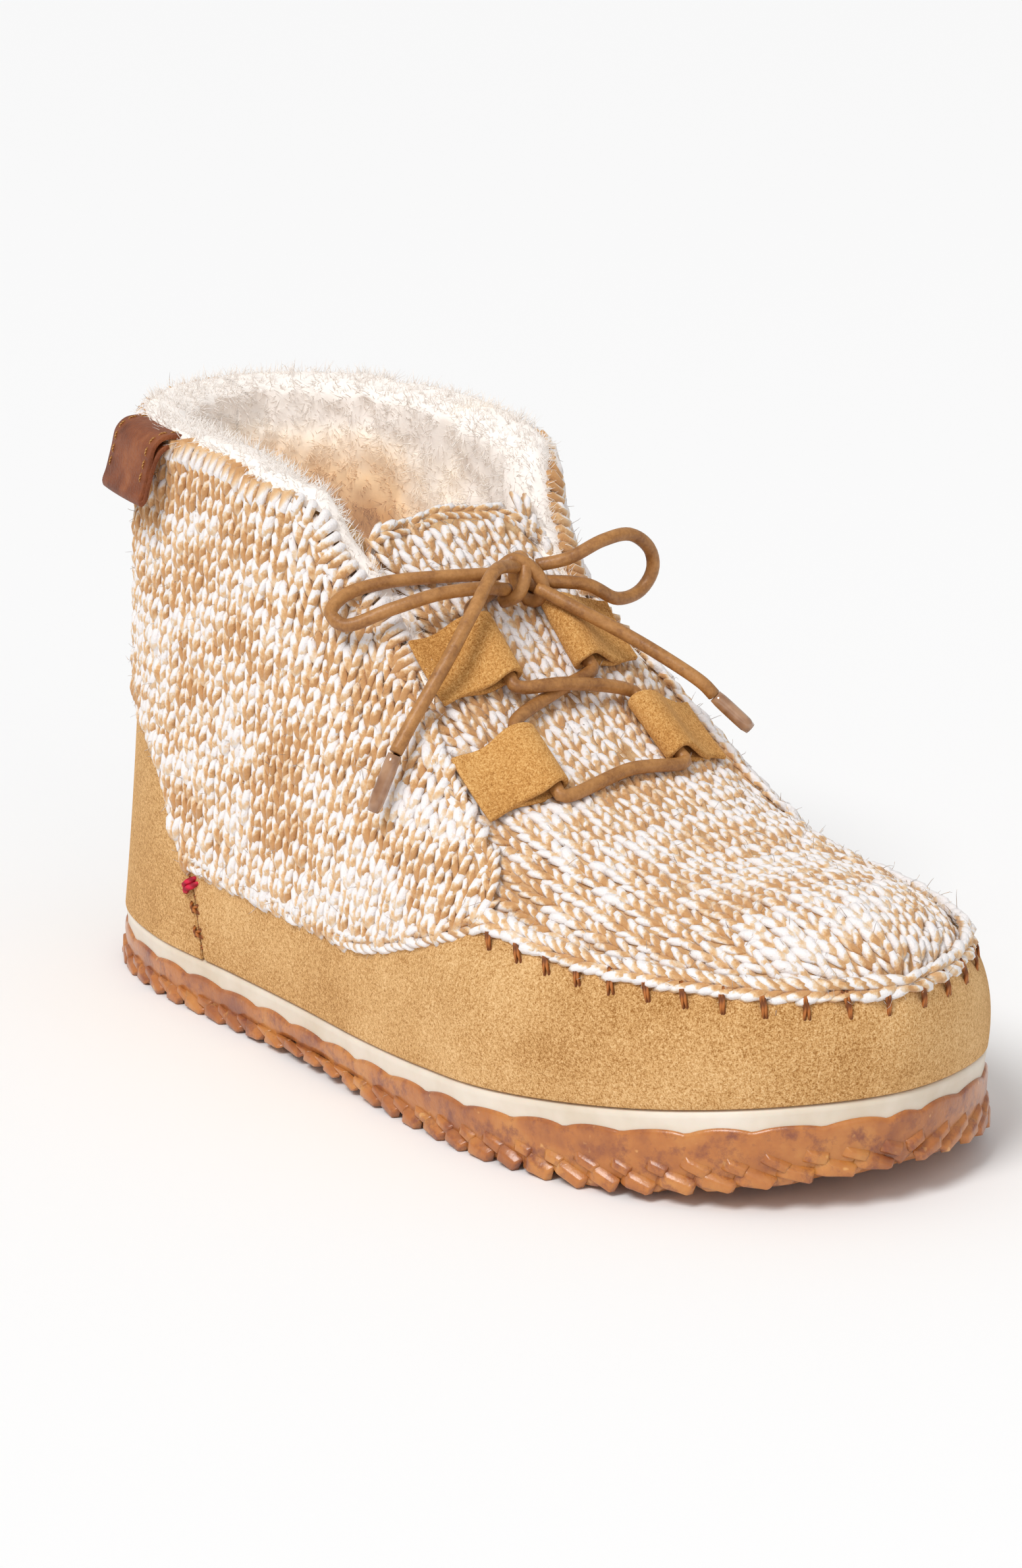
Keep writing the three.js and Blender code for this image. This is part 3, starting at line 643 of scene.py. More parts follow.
def strand_mesh(name, paths, radii, sides, ups, values=None):
    """One joined mesh of many strands; values are one number per strand."""
    count, rings = paths.shape[:2]
    radii = np.broadcast_to(radii, (count, rings))
    ups = ups[:, None, :] if np.ndim(ups) == 2 else ups
    points = sweep(paths, radii, sides, np.broadcast_to(ups, paths.shape))
    faces, uv = strand_faces(count, rings, sides)
    obj = mesh_from_arrays(name, points, faces)
    layer = obj.data.uv_layers.new(name="yarn")
    layer.data.foreach_set("uv", uv.astype(np.float32).ravel())
    for key, numbers in (values or {}).items():
        set_value(obj, key, np.repeat(numbers, rings * sides))
    return obj


print("faces of one strand of 5 rings and 6 sides:", len(strand_faces(1, 5, 6)[0]))

# %% [markdown]
# ## Lace
# The lace is a round waxed cord of about 3 mm. It leaves the knot, runs through the four suede tabs with one
# crossing and one straight bar, and comes back to the knot. Two loops and two ends with film tips make the
# bow. A swept tube follows each route of the part, so the cord keeps its length. A bevelled curve would do
# too, but the sweep also gives a UV map along the cord for its weave.

# %% Lace finish
LACE_LIGHT = linear(196, 142, 84)
LACE_MID = linear(172, 120, 66)
LACE_DARK = linear(128, 80, 38)
LACE_STRANDS = 3


def lace_finish():
    made, tree, shader = new_material("waxed_cord", {"Roughness": 0.42, "Specular IOR Level": 0.45})
    place = object_place(tree)
    slant = math_node(tree, "ADD", *along_and_around(tree))
    plait = ripple(tree, math_node(tree, "MULTIPLY", slant, LACE_STRANDS))
    worn = noise(tree, place, scale=160, detail=4, rough=0.65)
    fine = noise(tree, place, scale=1500, detail=2, rough=0.6)
    patchy = blend(tree, worn, 0.8, fine, 0.3)
    shade = plus(tree, patchy, plait, 0.015)
    paint(tree, shader, shade, [(0.34, LACE_DARK), (0.58, LACE_MID), (0.8, LACE_LIGHT)])
    add_bump(tree, shader, plus(tree, fine, plait, 0.12), 0.0002, 0.5)
    return made


waxed_cord = lace_finish()
print("finish", waxed_cord.name)

# %% Lace routes
TAB = {"long": 16, "reach": 15, "thick": 1.8, "eye": 3.4, "rest": 0.4}
LACE_TABS = {
    "lower_lateral": (LATERAL, 29.5, -28),
    "upper_lateral": (LATERAL, 6.5, -23),
    "lower_medial": (MEDIAL, 28, 19.5),
    "upper_medial": (MEDIAL, 6, 12.5),
}
KNOT = np.array([-1.5, -0.5, 107.5])
KNOT_LEAVE = 4.9
KNOT_BARS = 6.0
LOOPS = {
    "lateral": [(-0.35, -0.87, 0.35), (-8, -18, 109.5), (-12.5, -29, 109), (-15, -38, 107), (-14, -42.5, 104),
                (-9.5, -42, 102), (-3.5, -34, 105.5), (0.5, -24, 108.2), (2.6, -14, 108.4),
                (0.3, -0.92, -0.25)],
    "medial": [(0.25, 0.75, 0.6), (3.7, 9, 112), (5.6, 17, 115.2), (5.4, 25, 115.4), (4.9, 31, 111),
               (4.6, 32, 106.2), (4.2, 29, 102), (4.9, 22, 101.2), (5, 13, 105.8), (0.45, 0.88, -0.1)],
}
ENDS = {
    "lateral": [(0.45, -0.45, 0.77), (5, -12, 112.6), (10, -21.5, 106.5), (13.2, -31, 97.5),
                (13.8, -41, 85.5), (14.3, -46, 79.3)],
    "medial": [(0.93, 0.25, -0.2), (12.6, 7, 101.6), (18.7, 13, 97.3), (26.2, 18, 92.8), (33.5, 23, 87.6),
               (34.8, 25, 85)],
}
AGLET_TIPS = {"lateral": (12.8, -51, 66.8), "medial": (40.2, 31, 77.5)}
BAR_LEAVE = {"lateral": (-0.5, -0.78, -0.36), "medial": (-0.5, 0.78, -0.36)}
LACE_REST = {"cross_over": (18, -5, 6.2), "cross_under": (17, -5, 2.9), "bottom_bar": (39, -4.5, 2.6)}
print("tabs", list(LACE_TABS), "knot", KNOT)


# %% Lace through the tabs
FOLD_HEADING = np.array([0.78, 0, -0.62])
EYE_SINK = 0.2
EYE_STEPS = {"before": 2.5, "inside": -0.5}


def above(x, y, lift):
    """A point over the tongue at a place of the plan."""
    side = LATERAL if y < THROAT["centre"] else MEDIAL
    row, level = plan_place(side, x, y)
    return on_last(side, row, level, lift)[0]


def tab_frame(name):
    """Origin of a tab and its directions: along the fold, across to the medial side and out of the boot."""
    side, x, y = LACE_TABS[name]
    row, level = plan_place(side, x, y)
    out = outward(side, row, level)[0]
    fold = unit(FOLD_HEADING - out * (FOLD_HEADING @ out))
    origin = last(side, row, level)[0] + out * TAB["rest"]
    return side, origin, fold, np.cross(out, fold), out


def eye_end(name, end, beyond):
    side, origin, fold, across, out = tab_frame(name)
    reach = end * (TAB["long"] / 2 + beyond)
    return origin + fold * reach - across * side * TAB["reach"] / 2 + out * (TAB["eye"] - EYE_SINK)


def through(name, first):
    """Four points of the lace in a tab: before it, just inside, and the same at its other end."""
    near = [eye_end(name, first, EYE_STEPS[key]) for key in ("before", "inside")]
    far = [eye_end(name, -first, EYE_STEPS[key]) for key in ("inside", "before")]
    return near + far


def leave_knot(direction, distance=KNOT_LEAVE):
    return KNOT + unit(np.array(direction, float)) * distance


def bar_route():
    return [leave_knot(BAR_LEAVE["lateral"], KNOT_BARS), *through("upper_lateral", -1),
            above(*LACE_REST["cross_over"]), *through("lower_medial", -1), above(*LACE_REST["bottom_bar"]),
            *through("lower_lateral", 1), above(*LACE_REST["cross_under"]), *through("upper_medial", 1),
            leave_knot(BAR_LEAVE["medial"], KNOT_BARS)]


def loop_route(rows):
    """A loop's first and last rows are directions out of the knot, the others are places."""
    return [leave_knot(rows[0]), *rows[1:-1], leave_knot(rows[-1])]


def end_route(rows):
    return [leave_knot(rows[0]), *rows[1:]]


print("points of the bars' route", len(bar_route()))

# %% Lace tubes
LACE_RADIUS = 1.5
LACE_SIDES = 12
LACE_STEP = 1.2
KNOT_STEP = 0.8


def transported(path):
    """Directions square to a path that turn with it as little as they can."""
    tangent = unit(np.gradient(path, axis=0))
    up = np.empty_like(path)
    guess = np.array([0.0, 0.0, 1.0]) if abs(tangent[0, 2]) < 0.9 else np.array([1.0, 0.0, 0.0])
    for index, heading in enumerate(tangent):
        guess = unit(guess - heading * (guess @ heading))
        up[index] = guess
    return up


def add_lace(name, route, node, step=LACE_STEP):
    path = rounded(route, step)
    radii = np.full((1, len(path)), LACE_RADIUS)
    obj = strand_mesh(name, path[None], radii, LACE_SIDES, transported(path)[None])
    along = obj.data.uv_layers["yarn"].data
    uv = np.empty(len(along) * 2, np.float32)
    along.foreach_get("uv", uv)
    length = np.linalg.norm(np.diff(path, axis=0), axis=1).sum()
    uv[0::2] *= length / (FULL_TURN * LACE_RADIUS)
    along.foreach_set("uv", uv)
    finish_piece(obj, waxed_cord, "lace", node)
    return obj, path, length * MM


lace_bars = add_lace("lace_run", bar_route(), "lace_bars")
lace_loops = {}
for key, rows in LOOPS.items():
    lace_loops[key] = add_lace(f"bow_loop_{key}", loop_route(rows), f"lace_loop_{key}")
lace_ends = {}
for key, rows in ENDS.items():
    lace_ends[key] = add_lace(f"bow_end_{key}", end_route(rows), f"lace_end_{key}")
for cord, _, length in (lace_bars, *lace_loops.values(), *lace_ends.values()):
    print(cord.name, round(length, 4), "m")

# %% Film tips
FILM_DARK = linear(140, 96, 64)
FILM_LIGHT = linear(178, 136, 102)
TIP_RADII = np.array([1.5, 1.66, 1.7, 1.7, 1.7, 1.7, 1.66, 1.3])
TIP_START = 0.4


def film_finish():
    inputs = {"Roughness": 0.15, "Coat Weight": 1.0, "Coat Roughness": 0.05}
    made, tree, shader = new_material("tip_film", inputs)
    streak = noise(tree, object_place(tree), scale=260, detail=2, rough=0.5)
    paint(tree, shader, streak, [(0.35, FILM_DARK), (0.65, FILM_LIGHT)])
    return made


def add_tip(side_name):
    start = np.array(ENDS[side_name][-1], float)
    tip = np.array(AGLET_TIPS[side_name], float)
    heading = unit(tip - start)
    path = np.linspace(start + heading * TIP_START, tip, len(TIP_RADII))
    ups = transported(path)[None]
    obj = strand_mesh(f"lace_tip_{side_name}", path[None], TIP_RADII[None], LACE_SIDES, ups)
    return finish_piece(obj, tip_film, "aglet_plastic", f"aglet_{side_name}")


tip_film = film_finish()
lace_tips = {side_name: add_tip(side_name) for side_name in AGLET_TIPS}
print("film tips", [triangles(obj) for obj in lace_tips.values()])

# %% Knot
KNOT_SCALE = np.array([1.12, 1.1, 1.3])
KNOT_WRAP = [(0.2, -4.6, -3.2), (3.4, -3.0, -1.6), (3.6, -1.4, 1.8), (1.0, -0.2, 4.0), (-2.2, 0.8, 3.0),
             (-3.4, 1.6, -0.6), (-1.0, 2.2, -3.6), (2.4, 2.8, -3.4), (4.2, 2.6, -0.6), (3.4, 0.4, 2.6),
             (1.6, -2.6, 4.2), (0.6, -4.8, 3.0)]


def knot_route():
    """The lace wraps round the bow's middle and tucks under itself."""
    return [KNOT + np.array(point) * KNOT_SCALE for point in KNOT_WRAP]


lace_knot = add_lace("bow_knot", knot_route(), "lace_knot", KNOT_STEP)
print("knot", round(lace_knot[2], 4), "m of lace")


def declare(cord):
    obj, path, length = cord


declare(lace_bars)
for cord in lace_loops.values():
    declare(cord)
for key, cord in lace_ends.items():
    declare(cord)
declare(lace_knot)

# %% [markdown]
# ## Sole
# The boot stands on a cupsole of mottled gum rubber with a wavy rim. A cream strip sits in the cup and shows
# as a rounded bead under the suede. Both are rings that follow the outline: each ring is one height of the
# side wall, and ladder faces close the tread. Small leaf-shaped lugs overlap along the lower edge. One is
# made from a cube: its outer face is narrowed and moved, its edges are bevelled, and it is copied round.

# %% Gum and cream finishes
GUM_AMBER = linear(184, 114, 56)
GUM_LIGHT = linear(204, 140, 74)
GUM_DARK = linear(148, 84, 48)
GUM_SPECK = linear(124, 66, 52)
GUM_GLINT = linear(238, 186, 116)
CREAM_DARK = linear(216, 200, 178)
CREAM_MID = linear(230, 218, 202)
CREAM_LIGHT = linear(238, 229, 216)


def grey(value):
    return (value, value, value, 1)


def gum_finish():
    inputs = {"Roughness": 0.3, "Specular IOR Level": 0.5, "Subsurface Weight": 0.15,
              "Subsurface Scale": 0.003, "Subsurface Radius": (1.0, 0.55, 0.25), "Coat Weight": 0.25,
              "Coat Roughness": 0.2}
    made, tree, shader = new_material("gum_rubber", inputs)
    place = object_place(tree)
    cloud = noise(tree, place, scale=75, detail=4, rough=0.6)
    speck = noise(tree, place, scale=230, detail=5, rough=0.7)
    glint = noise(tree, place, scale=330, detail=2, rough=0.5)
    base = ramp(tree, cloud, [(0.3, GUM_DARK), (0.5, GUM_AMBER), (0.72, GUM_LIGHT)])
    dark = ramp(tree, speck, [(0.5, grey(0)), (0.68, grey(0.8))])
    pale = ramp(tree, glint, [(0.68, grey(0)), (0.76, grey(0.5))])
    spotted = mix_colour(tree, dark, base, GUM_SPECK)
    tree.links.new(mix_colour(tree, pale, spotted, GUM_GLINT), shader.inputs["Base Color"])
    add_bump(tree, shader, noise(tree, place, scale=420, detail=4, rough=0.6), 0.0004, 0.5)
    return made


def cream_finish():
    inputs = {"Roughness": 0.5, "Subsurface Weight": 0.1, "Subsurface Scale": 0.002}
    made, tree, shader = new_material("cream_strip", inputs)
    place = object_place(tree)
    stain = noise(tree, place, scale=45, detail=4, rough=0.6)
    paint(tree, shader, stain, [(0.3, CREAM_DARK), (0.55, CREAM_MID), (0.8, CREAM_LIGHT)])
    add_bump(tree, shader, noise(tree, place, scale=300, detail=3, rough=0.6), 0.0002, 0.4)
    return made


gum_rubber = gum_finish()
cream_strip = cream_finish()
print("finishes", gum_rubber.name, cream_strip.name)

# %% Sole rings
LUG_PITCHES = 21
PITCH_STATIONS = 12
SOLE_STATIONS = LUG_PITCHES * PITCH_STATIONS


def even_rows(side, count):
    """Rows at even lengths along one side of the outline."""
    rows = np.linspace(0, END_ROW, 2201)
    run = run_along(rim(side, rows, 0))
    return np.interp(np.linspace(0, run[-1], count + 1), run, rows)


SOLE_ROWS = {side: even_rows(side, SOLE_STATIONS) for side in SIDES}


def sole_ring(inset, height):
    """A ring round the sole: an inset, and a height that may change along x and from station to station."""
    def ring(side, station):
        point = rim(side, SOLE_ROWS[side][station], inset)
        return np.column_stack([point, height(point[:, 0], station)])

    return ring


def ring_solid(name, rings):
    """Walls between the rings, with rungs from side to side that close the bottom and the top."""
    count = SOLE_STATIONS
    slots = 2 * count
    forth = np.arange(count + 1)
    back = np.arange(count - 1, 0, -1)
    points = [np.concatenate([ring(LATERAL, forth), ring(MEDIAL, back)]) for ring in rings]
    here = np.arange(slots)
    beside = (here + 1) % slots
    faces = []
    for level in range(len(rings) - 1):
        low = level * slots
        faces += np.stack([low + here, low + beside, low + slots + beside, low + slots + here], -1).tolist()
    top = (len(rings) - 1) * slots
    for j in range(count):
        rung = [j, (slots - j) % slots, slots - j - 1, j + 1]
        faces.append(list(dict.fromkeys(rung)))
        faces.append([top + corner for corner in reversed(list(dict.fromkeys(rung)))])
    return mesh_from_arrays(name, np.concatenate(points), faces)


print("stations on each side of the sole", SOLE_STATIONS)

# %% Gum cup and cream strip
LIP = {"wave": 0.7, "raise": 0.9, "thick": 0.8, "inset": 1.5}
LIP_INNER = LIP["inset"] + LIP["thick"]
NOTCH = 2.6
CUP_SHARE = 0.55
STRIP_DEEP = 1.6
STRIP_PROFILE = [(1.75, 0.12), (1.6, 0.3), (1.62, 0.6), (1.42, 0.74), (1.35, 0.86), (1.6, 0.95), (2.1, 0.995),
                 (2.8, 1.0), (4.5, 0.97)]


def wave(station):
    """The lip's round lumps, one per pitch and no two alike."""
    lump = np.abs(np.sin(np.pi * (station / PITCH_STATIONS + 0.3))) ** 0.7 * 2 - 1
    return LIP["wave"] * lump * (0.8 + 0.2 * np.sin(station * 0.21))


def notch(station):
    """Height of the gaps between the tread blocks at the sole's edge."""
    t = (station / PITCH_STATIONS) % 1
    return NOTCH * np.clip(4 * (t - 0.25), 0, 1) * np.clip(4 * (1 - t), 0, 1)


def wall(inward, share, lift=0.0):
    """A ring at a share of the gum wall's height."""
    return sole_ring(inward, lambda x, station: ground(x) + share * (gum_top(x) - ground(x)) + lift)


def under(inward, lift, share):
    return sole_ring(inward, lambda x, station: ground(x) + share * notch(station) + lift)


def crest(inward, drop, share):
    return sole_ring(inward, lambda x, station: gum_top(x) + LIP["raise"] - drop + share * wave(station))


def strip(inward, share):
    """A ring at a share of the cream strip's height, which starts a little below the lip."""
    def height(x, station):
        low = gum_top(x) - STRIP_DEEP
        return low + share * (seat_top(x) - low)

    return sole_ring(inward, height)


def add_outsole():
    obj = ring_solid("gum_outsole", [
        under(3.2, 0.0, 1.0), under(2.2, 0.4, 0.8), under(1.7, 1.8, 0.5), wall(1.35, 0.5), wall(1.05, 0.7),
        crest(0.9, 1.7, 0.6), crest(0.95, 0.8, 0.9), crest(1.2, 0.2, 1.0), crest(LIP["inset"], 0.0, 1.0),
        crest(LIP_INNER, 0.0, 1.0), wall(LIP_INNER, CUP_SHARE),
    ])
    return finish_piece(obj, gum_rubber, "gum_rubber", "outsole")


def add_midsole():
    inner = LIP_INNER + GAP
    rings = [wall(inner, CUP_SHARE, GAP), strip(inner, 0.0)]
    rings += [strip(inward, share) for inward, share in STRIP_PROFILE]
    return finish_piece(ring_solid("cream_midsole", rings), cream_strip, "cream_foam", "midsole")


outsole = add_outsole()
midsole = add_midsole()
print("outsole", triangles(outsole), "midsole", triangles(midsole))

# %% One lug
LUG_SIZE = (9.0, 1.8, 4.6)
LUG_FACE = {"wide": 0.62, "high": 0.5, "forward": 0.8 * MM, "down": -0.5 * MM}
LUG_BEVEL = 0.45 * MM


def lug_template():
    """A cube pulled to a leaf-shaped wedge; directions are along, out and up."""
    deselect()
    bpy.ops.mesh.primitive_cube_add(size=1.0)
    obj = bpy.context.object
    bpy.ops.object.mode_set(mode="EDIT")
    bpy.ops.transform.resize(value=tuple(size * MM for size in LUG_SIZE))
    bpy.ops.mesh.select_mode(type="FACE")
    bpy.ops.mesh.select_all(action="DESELECT")
    bpy.ops.object.mode_set(mode="OBJECT")
    for polygon in obj.data.polygons:
        polygon.select = polygon.normal.y > 0.9
    bpy.ops.object.mode_set(mode="EDIT")
    bpy.ops.transform.resize(value=(LUG_FACE["wide"], 1.0, LUG_FACE["high"]))
    bpy.ops.transform.translate(value=(LUG_FACE["forward"], 0.0, LUG_FACE["down"]))
    bpy.ops.mesh.select_all(action="SELECT")
    bpy.ops.mesh.bevel(offset=LUG_BEVEL, segments=2, affect="EDGES")
    bpy.ops.object.mode_set(mode="OBJECT")
    points = np.array([vertex.co[:] for vertex in obj.data.vertices]) / MM
    faces = [list(polygon.vertices) for polygon in obj.data.polygons]
    bpy.data.objects.remove(obj)
    return points, faces


lug_shape, lug_faces = lug_template()
print("lug of", len(lug_shape), "points")

# %% Lugs round the sole
LUGS_PER_SIDE = 36
LUG_ROWS = ((0.2, 0.0, 1.0), (0.46, 0.5, 0.72))
LUG_INSET = 1.05
LUG_TILT = math.radians(-20)
LUG_LIMITS = {"floor": 0.05, "lip": 3.2}


def lug_places(side, share, shift, rng):
    """Centre, heading and outward direction of each lug of one line."""
    every = even_rows(side, LUGS_PER_SIDE)
    rows = every[:-1] + (shift + 0.1) * np.diff(every)
    point = rim(side, rows, LUG_INSET)
    ahead = rim(side, np.minimum(rows + 0.02, END_ROW), LUG_INSET)
    heading = unit(ahead - point)
    out = unit(rim(side, rows, 0) - rim(side, rows, 2))
    low = ground(point[:, 0])
    z = low + share * (gum_top(point[:, 0]) - low) + rng.uniform(-0.4, 0.4, len(rows))
    zero = np.zeros(len(rows))
    return np.column_stack([point, z]), np.column_stack([heading, zero]), np.column_stack([out, zero])


def placed_lug(centre, heading, out, scale, rng):
    """One copy of the lug, tilted and sized a little differently, kept between the floor and the lip."""
    tilt = LUG_TILT * rng.uniform(0.6, 1.3)
    size = rng.uniform(0.82, 1.12, 3) * scale
    along = lug_shape[:, 0] * size[0]
    up = lug_shape[:, 2] * size[2]
    turned = along * math.cos(tilt) - up * math.sin(tilt)
    raised = along * math.sin(tilt) + up * math.cos(tilt)
    lug = centre + turned[:, None] * heading + lug_shape[:, 1:2] * size[1] * out
    lowest = ground(lug[:, 0]) + LUG_LIMITS["floor"]
    highest = gum_top(lug[:, 0]) - LUG_LIMITS["lip"]
    lug[:, 2] = np.clip(centre[2] + raised, lowest, highest)
    return lug


def add_lugs():
    rng = np.random.default_rng(11)
    points = []
    for side, (share, shift, scale) in [(side, line) for side in SIDES for line in LUG_ROWS]:
        for centre, heading, out in zip(*lug_places(side, share, shift, rng)):
            points.append(placed_lug(centre, heading, out, scale, rng))
    starts = range(0, len(points) * len(lug_shape), len(lug_shape))
    faces = [[start + corner for corner in face] for start in starts for face in lug_faces]
    obj = mesh_from_arrays("sole_lugs", np.concatenate(points), faces)
    edit_all(obj, bpy.ops.mesh.normals_make_consistent, inside=False)
    return finish_piece(obj, gum_rubber, "gum_rubber")


lugs = add_lugs()
print("lugs", triangles(lugs))

# %% [markdown]
# ## Suede rand and heel counter
# Tan suede wraps the foot from seam to seam, and a second piece cups the heel. Each is a grid laid over the
# last between the sole and the panel's edge, then given its thickness with Solidify and a soft cut edge with
# Bevel. The apron edge is drawn in a little at each whip stitch, as thread does in soft leather.

# %% Suede finish
SUEDE_MID = linear(206, 158, 100)
SUEDE_LIGHT = linear(238, 198, 144)
SUEDE_DARK = linear(150, 98, 42)


def suede_finish(name, dark, mid, light):
    inputs = {"Roughness": 0.95, "Specular IOR Level": 0.2, "Sheen Weight": 0.35, "Sheen Roughness": 0.6,
              "Sheen Tint": light}
    made, tree, shader = new_material(name, inputs)
    place = object_place(tree)
    brushed = noise(tree, place, scale=28, detail=4, rough=0.6)
    nap = noise(tree, place, scale=1500, detail=3, rough=0.7)
    grain = noise(tree, place, scale=3200, detail=2, rough=0.6)
    speckle = blend(tree, nap, 0.5, grain, 0.5)
    tone = blend(tree, brushed, 0.25, speckle, 0.8)
    paint(tree, shader, tone, [(0.42, dark), (0.53, mid), (0.64, light)])
    add_bump(tree, shader, speckle, 0.0006, 0.7)
    return made


suede = suede_finish("tan_suede", SUEDE_DARK, SUEDE_MID, SUEDE_LIGHT)
print("finish", suede.name)

# %% Panel limits
RAND_LIFT = GAP + SUEDE
RAND_TOP = np.array(QUARTER_LOWER + APRON_SEAM, float)
COUNTER = np.array(COUNTER_EDGE, float)
SEAM_TOP = 34.8
SEAM_ROWS = slice(60, 150)
SEAM_OVERLAP = 0.6


def lifted_net(side, lift):
    return on_last(side, NET_ROWS[:, None], NET_LEVELS[None, :], lift)


def crossing(values):
    """Level on each net row where a test first turns positive; 1 where it never does."""
    positive = values > 0
    first = positive.argmax(axis=1)
    before = np.maximum(first - 1, 0)
    line = np.arange(len(values))
    low = values[line, before]
    high = values[line, first]
    share = np.where(first > 0, -low / np.where(high - low == 0, 1, high - low), 0)
    level = NET_LEVELS[before] + np.clip(share, 0, 1) * NET_LEVELS[1]
    return np.where(positive.any(axis=1), level, 1.0)


def counter_front(z):
    return np.interp(z, COUNTER[:, 1], COUNTER[:, 0])


def rand_limits(side):
    """Top level on each row, and the row where the rand starts at some shares of its height."""
    net = lifted_net(side, RAND_LIFT)
    top = crossing(net[..., 2] - np.interp(net[..., 0], RAND_TOP[:, 0], RAND_TOP[:, 1]) + GAP)
    shares = np.linspace(0, 1, 15)
    starts = []
    for share in shares:
        line = on_last(side, NET_ROWS, share * top, RAND_LIFT)
        ahead = line[:, 0] - counter_front(np.minimum(line[:, 2], SEAM_TOP)) - GAP
        starts.append(np.interp(0, ahead[SEAM_ROWS], NET_ROWS[SEAM_ROWS]))
    return top, shares, np.array(starts)


def counter_limits(side):
    """Top level on each row, and the row where the counter ends at the sole."""
    net = lifted_net(side, RAND_LIFT)
    top = crossing(net[..., 0] - counter_front(net[..., 2]) + GAP)
    foot = net[:, 0, 0] - counter_front(net[:, 0, 2]) + GAP
    return top, np.interp(-SEAM_OVERLAP, foot[SEAM_ROWS], NET_ROWS[SEAM_ROWS])


RAND_LIMITS = {side: rand_limits(side) for side in SIDES}
COUNTER_LIMITS = {side: counter_limits(side) for side in SIDES}
print("counter ends at rows", [round(float(COUNTER_LIMITS[side][1]), 2) for side in SIDES])

# %% Whip places
WHIP_PITCH = 8.6
WHIP_END = 2
APRON_START = 46
STITCH_PULL = {"wide": 1.9, "high": 0.16, "in": 0.75, "down": 0.016}


def apron_path(side, lift):
    """Upper edge of the rand from the toe back to the quarter."""
    top = RAND_LIMITS[side][0]
    line = on_last(side, NET_ROWS, top, lift)
    keep = line[:, 0] > APRON_START
    return NET_ROWS[keep][::-1], top[keep][::-1], line[keep][::-1]


def whip_places(side):
    """Rows of the whip stitches on one side, counted from the toe."""
    rows, _, line = apron_path(side, RAND_LIFT)
    run = run_along(line)
    at = np.arange(WHIP_PITCH / 2, run[-1] - WHIP_END, WHIP_PITCH)
    return np.interp(at, run, rows), rows, run


def draw_in(side, row, up):
    """How far thread pulls the suede in, near each whip stitch."""
    places, rows, run = whip_places(side)
    order = np.argsort(rows)
    here = np.interp(row, rows[order], run[order], left=1e3)
    marks = np.interp(places, rows[order], run[order])
    near = np.exp(-((here[:, None] - marks[None, :]) / STITCH_PULL["wide"]) ** 2).sum(axis=1)
    return near * np.exp(-((1 - up) / STITCH_PULL["high"]) ** 2)


print("whip stitches", [len(whip_places(side)[0]) for side in SIDES])

# %% Panel places
RAND_SWELL = 0.35
COUNTER_SWELL = 0.25


def both_sides(across, place_side_points):
    """Fills an array from the lateral half (0 to 0.5) and the medial half (1 to 0.5) of a grid."""
    points = np.empty((len(across), 3))
    lateral = across <= 0.5
    points[lateral] = place_side_points(LATERAL, 2 * across[lateral], lateral)
    points[~lateral] = place_side_points(MEDIAL, 2 * (1 - across[~lateral]), ~lateral)
    return points


def place_rand(across, up):
    def half(side, share, mask):
        top, shares, starts = RAND_LIMITS[side]
        begin = np.interp(up[mask], shares, starts)
        row = begin + (END_ROW - begin) * share
        pull = draw_in(side, row, up[mask])
        level = up[mask] * np.interp(row, NET_ROWS, top) * (1 - STITCH_PULL["down"] * pull)
        swell = RAND_SWELL * np.sin(np.pi * np.clip(up[mask], 0, 1))
        return on_last(side, row, level, RAND_LIFT + swell - STITCH_PULL["in"] * pull)

    return both_sides(across, half)


def place_counter(across, up):
    def half(side, share, mask):
        top, reach = COUNTER_LIMITS[side]
        row = reach * (1 - share)
        level = up[mask] * np.interp(row, NET_ROWS, top)
        return on_last(side, row, level, RAND_LIFT + COUNTER_SWELL * np.sin(np.pi * up[mask]))

    return both_sides(across, half)


print("rand and counter laid out on", len(SIDES), "sides")

# %% Suede panels
EDGE_CUT = {"width": 0.4 * MM, "segments": 2, "limit_method": "ANGLE", "angle_limit": math.radians(50)}
BOOT_MIDDLE = (0, 0, 0.03)


def turn_out(obj, centre):
    """Flips the faces of an open skin that looks towards a point inside it."""
    middle = Vector(centre)
    away = sum((face.center - middle).dot(face.normal) * face.area for face in obj.data.polygons)
    if away < 0:
        edit_all(obj, bpy.ops.mesh.flip_normals)


def thicken(obj, thickness, inner_point):
    """Gives an open skin its thickness, inwards, and a soft cut edge."""
    turn_out(obj, inner_point)
    apply_modifier(obj, "SOLIDIFY", thickness=thickness * MM, offset=-1.0)
    apply_modifier(obj, "BEVEL", **EDGE_CUT)


def add_suede_panel(name, columns, lines, place, node):
    obj = add_grid(name, columns, lines, place)
    thicken(obj, SUEDE, BOOT_MIDDLE)
    return finish_piece(obj, suede, "suede", node)


rand = add_suede_panel("suede_rand", 360, 22, place_rand, "rand")
counter = add_suede_panel("suede_counter", 96, 24, place_counter, "heel_counter")
print("rand", triangles(rand), "counter", triangles(counter))

# %% [markdown]
# ## Knit
# The quarters, vamp and tongue are a chunky stockinette of marled yarn: white slub plied with tan. Every
# stitch shows two legs that meet in a V. Bump alone looks flat on loops this large, so each leg is a real
# teardrop of yarn. On the quarters the ribs of stitches stand upright; on the vamp and tongue they run along
# the foot. A leg keeps its share of white yarn as an attribute, and the finish twists the two plies from its
# UV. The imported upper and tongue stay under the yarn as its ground.

# %% Yarn finish
YARN_WHITE = linear(247, 241, 239)
YARN_CREAM = linear(238, 214, 186)
YARN_TAN = linear(230, 188, 140)
YARN_BROWN = linear(204, 153, 102)
GROUND_DARK = linear(182, 136, 90)
GROUND_LIGHT = linear(220, 184, 140)


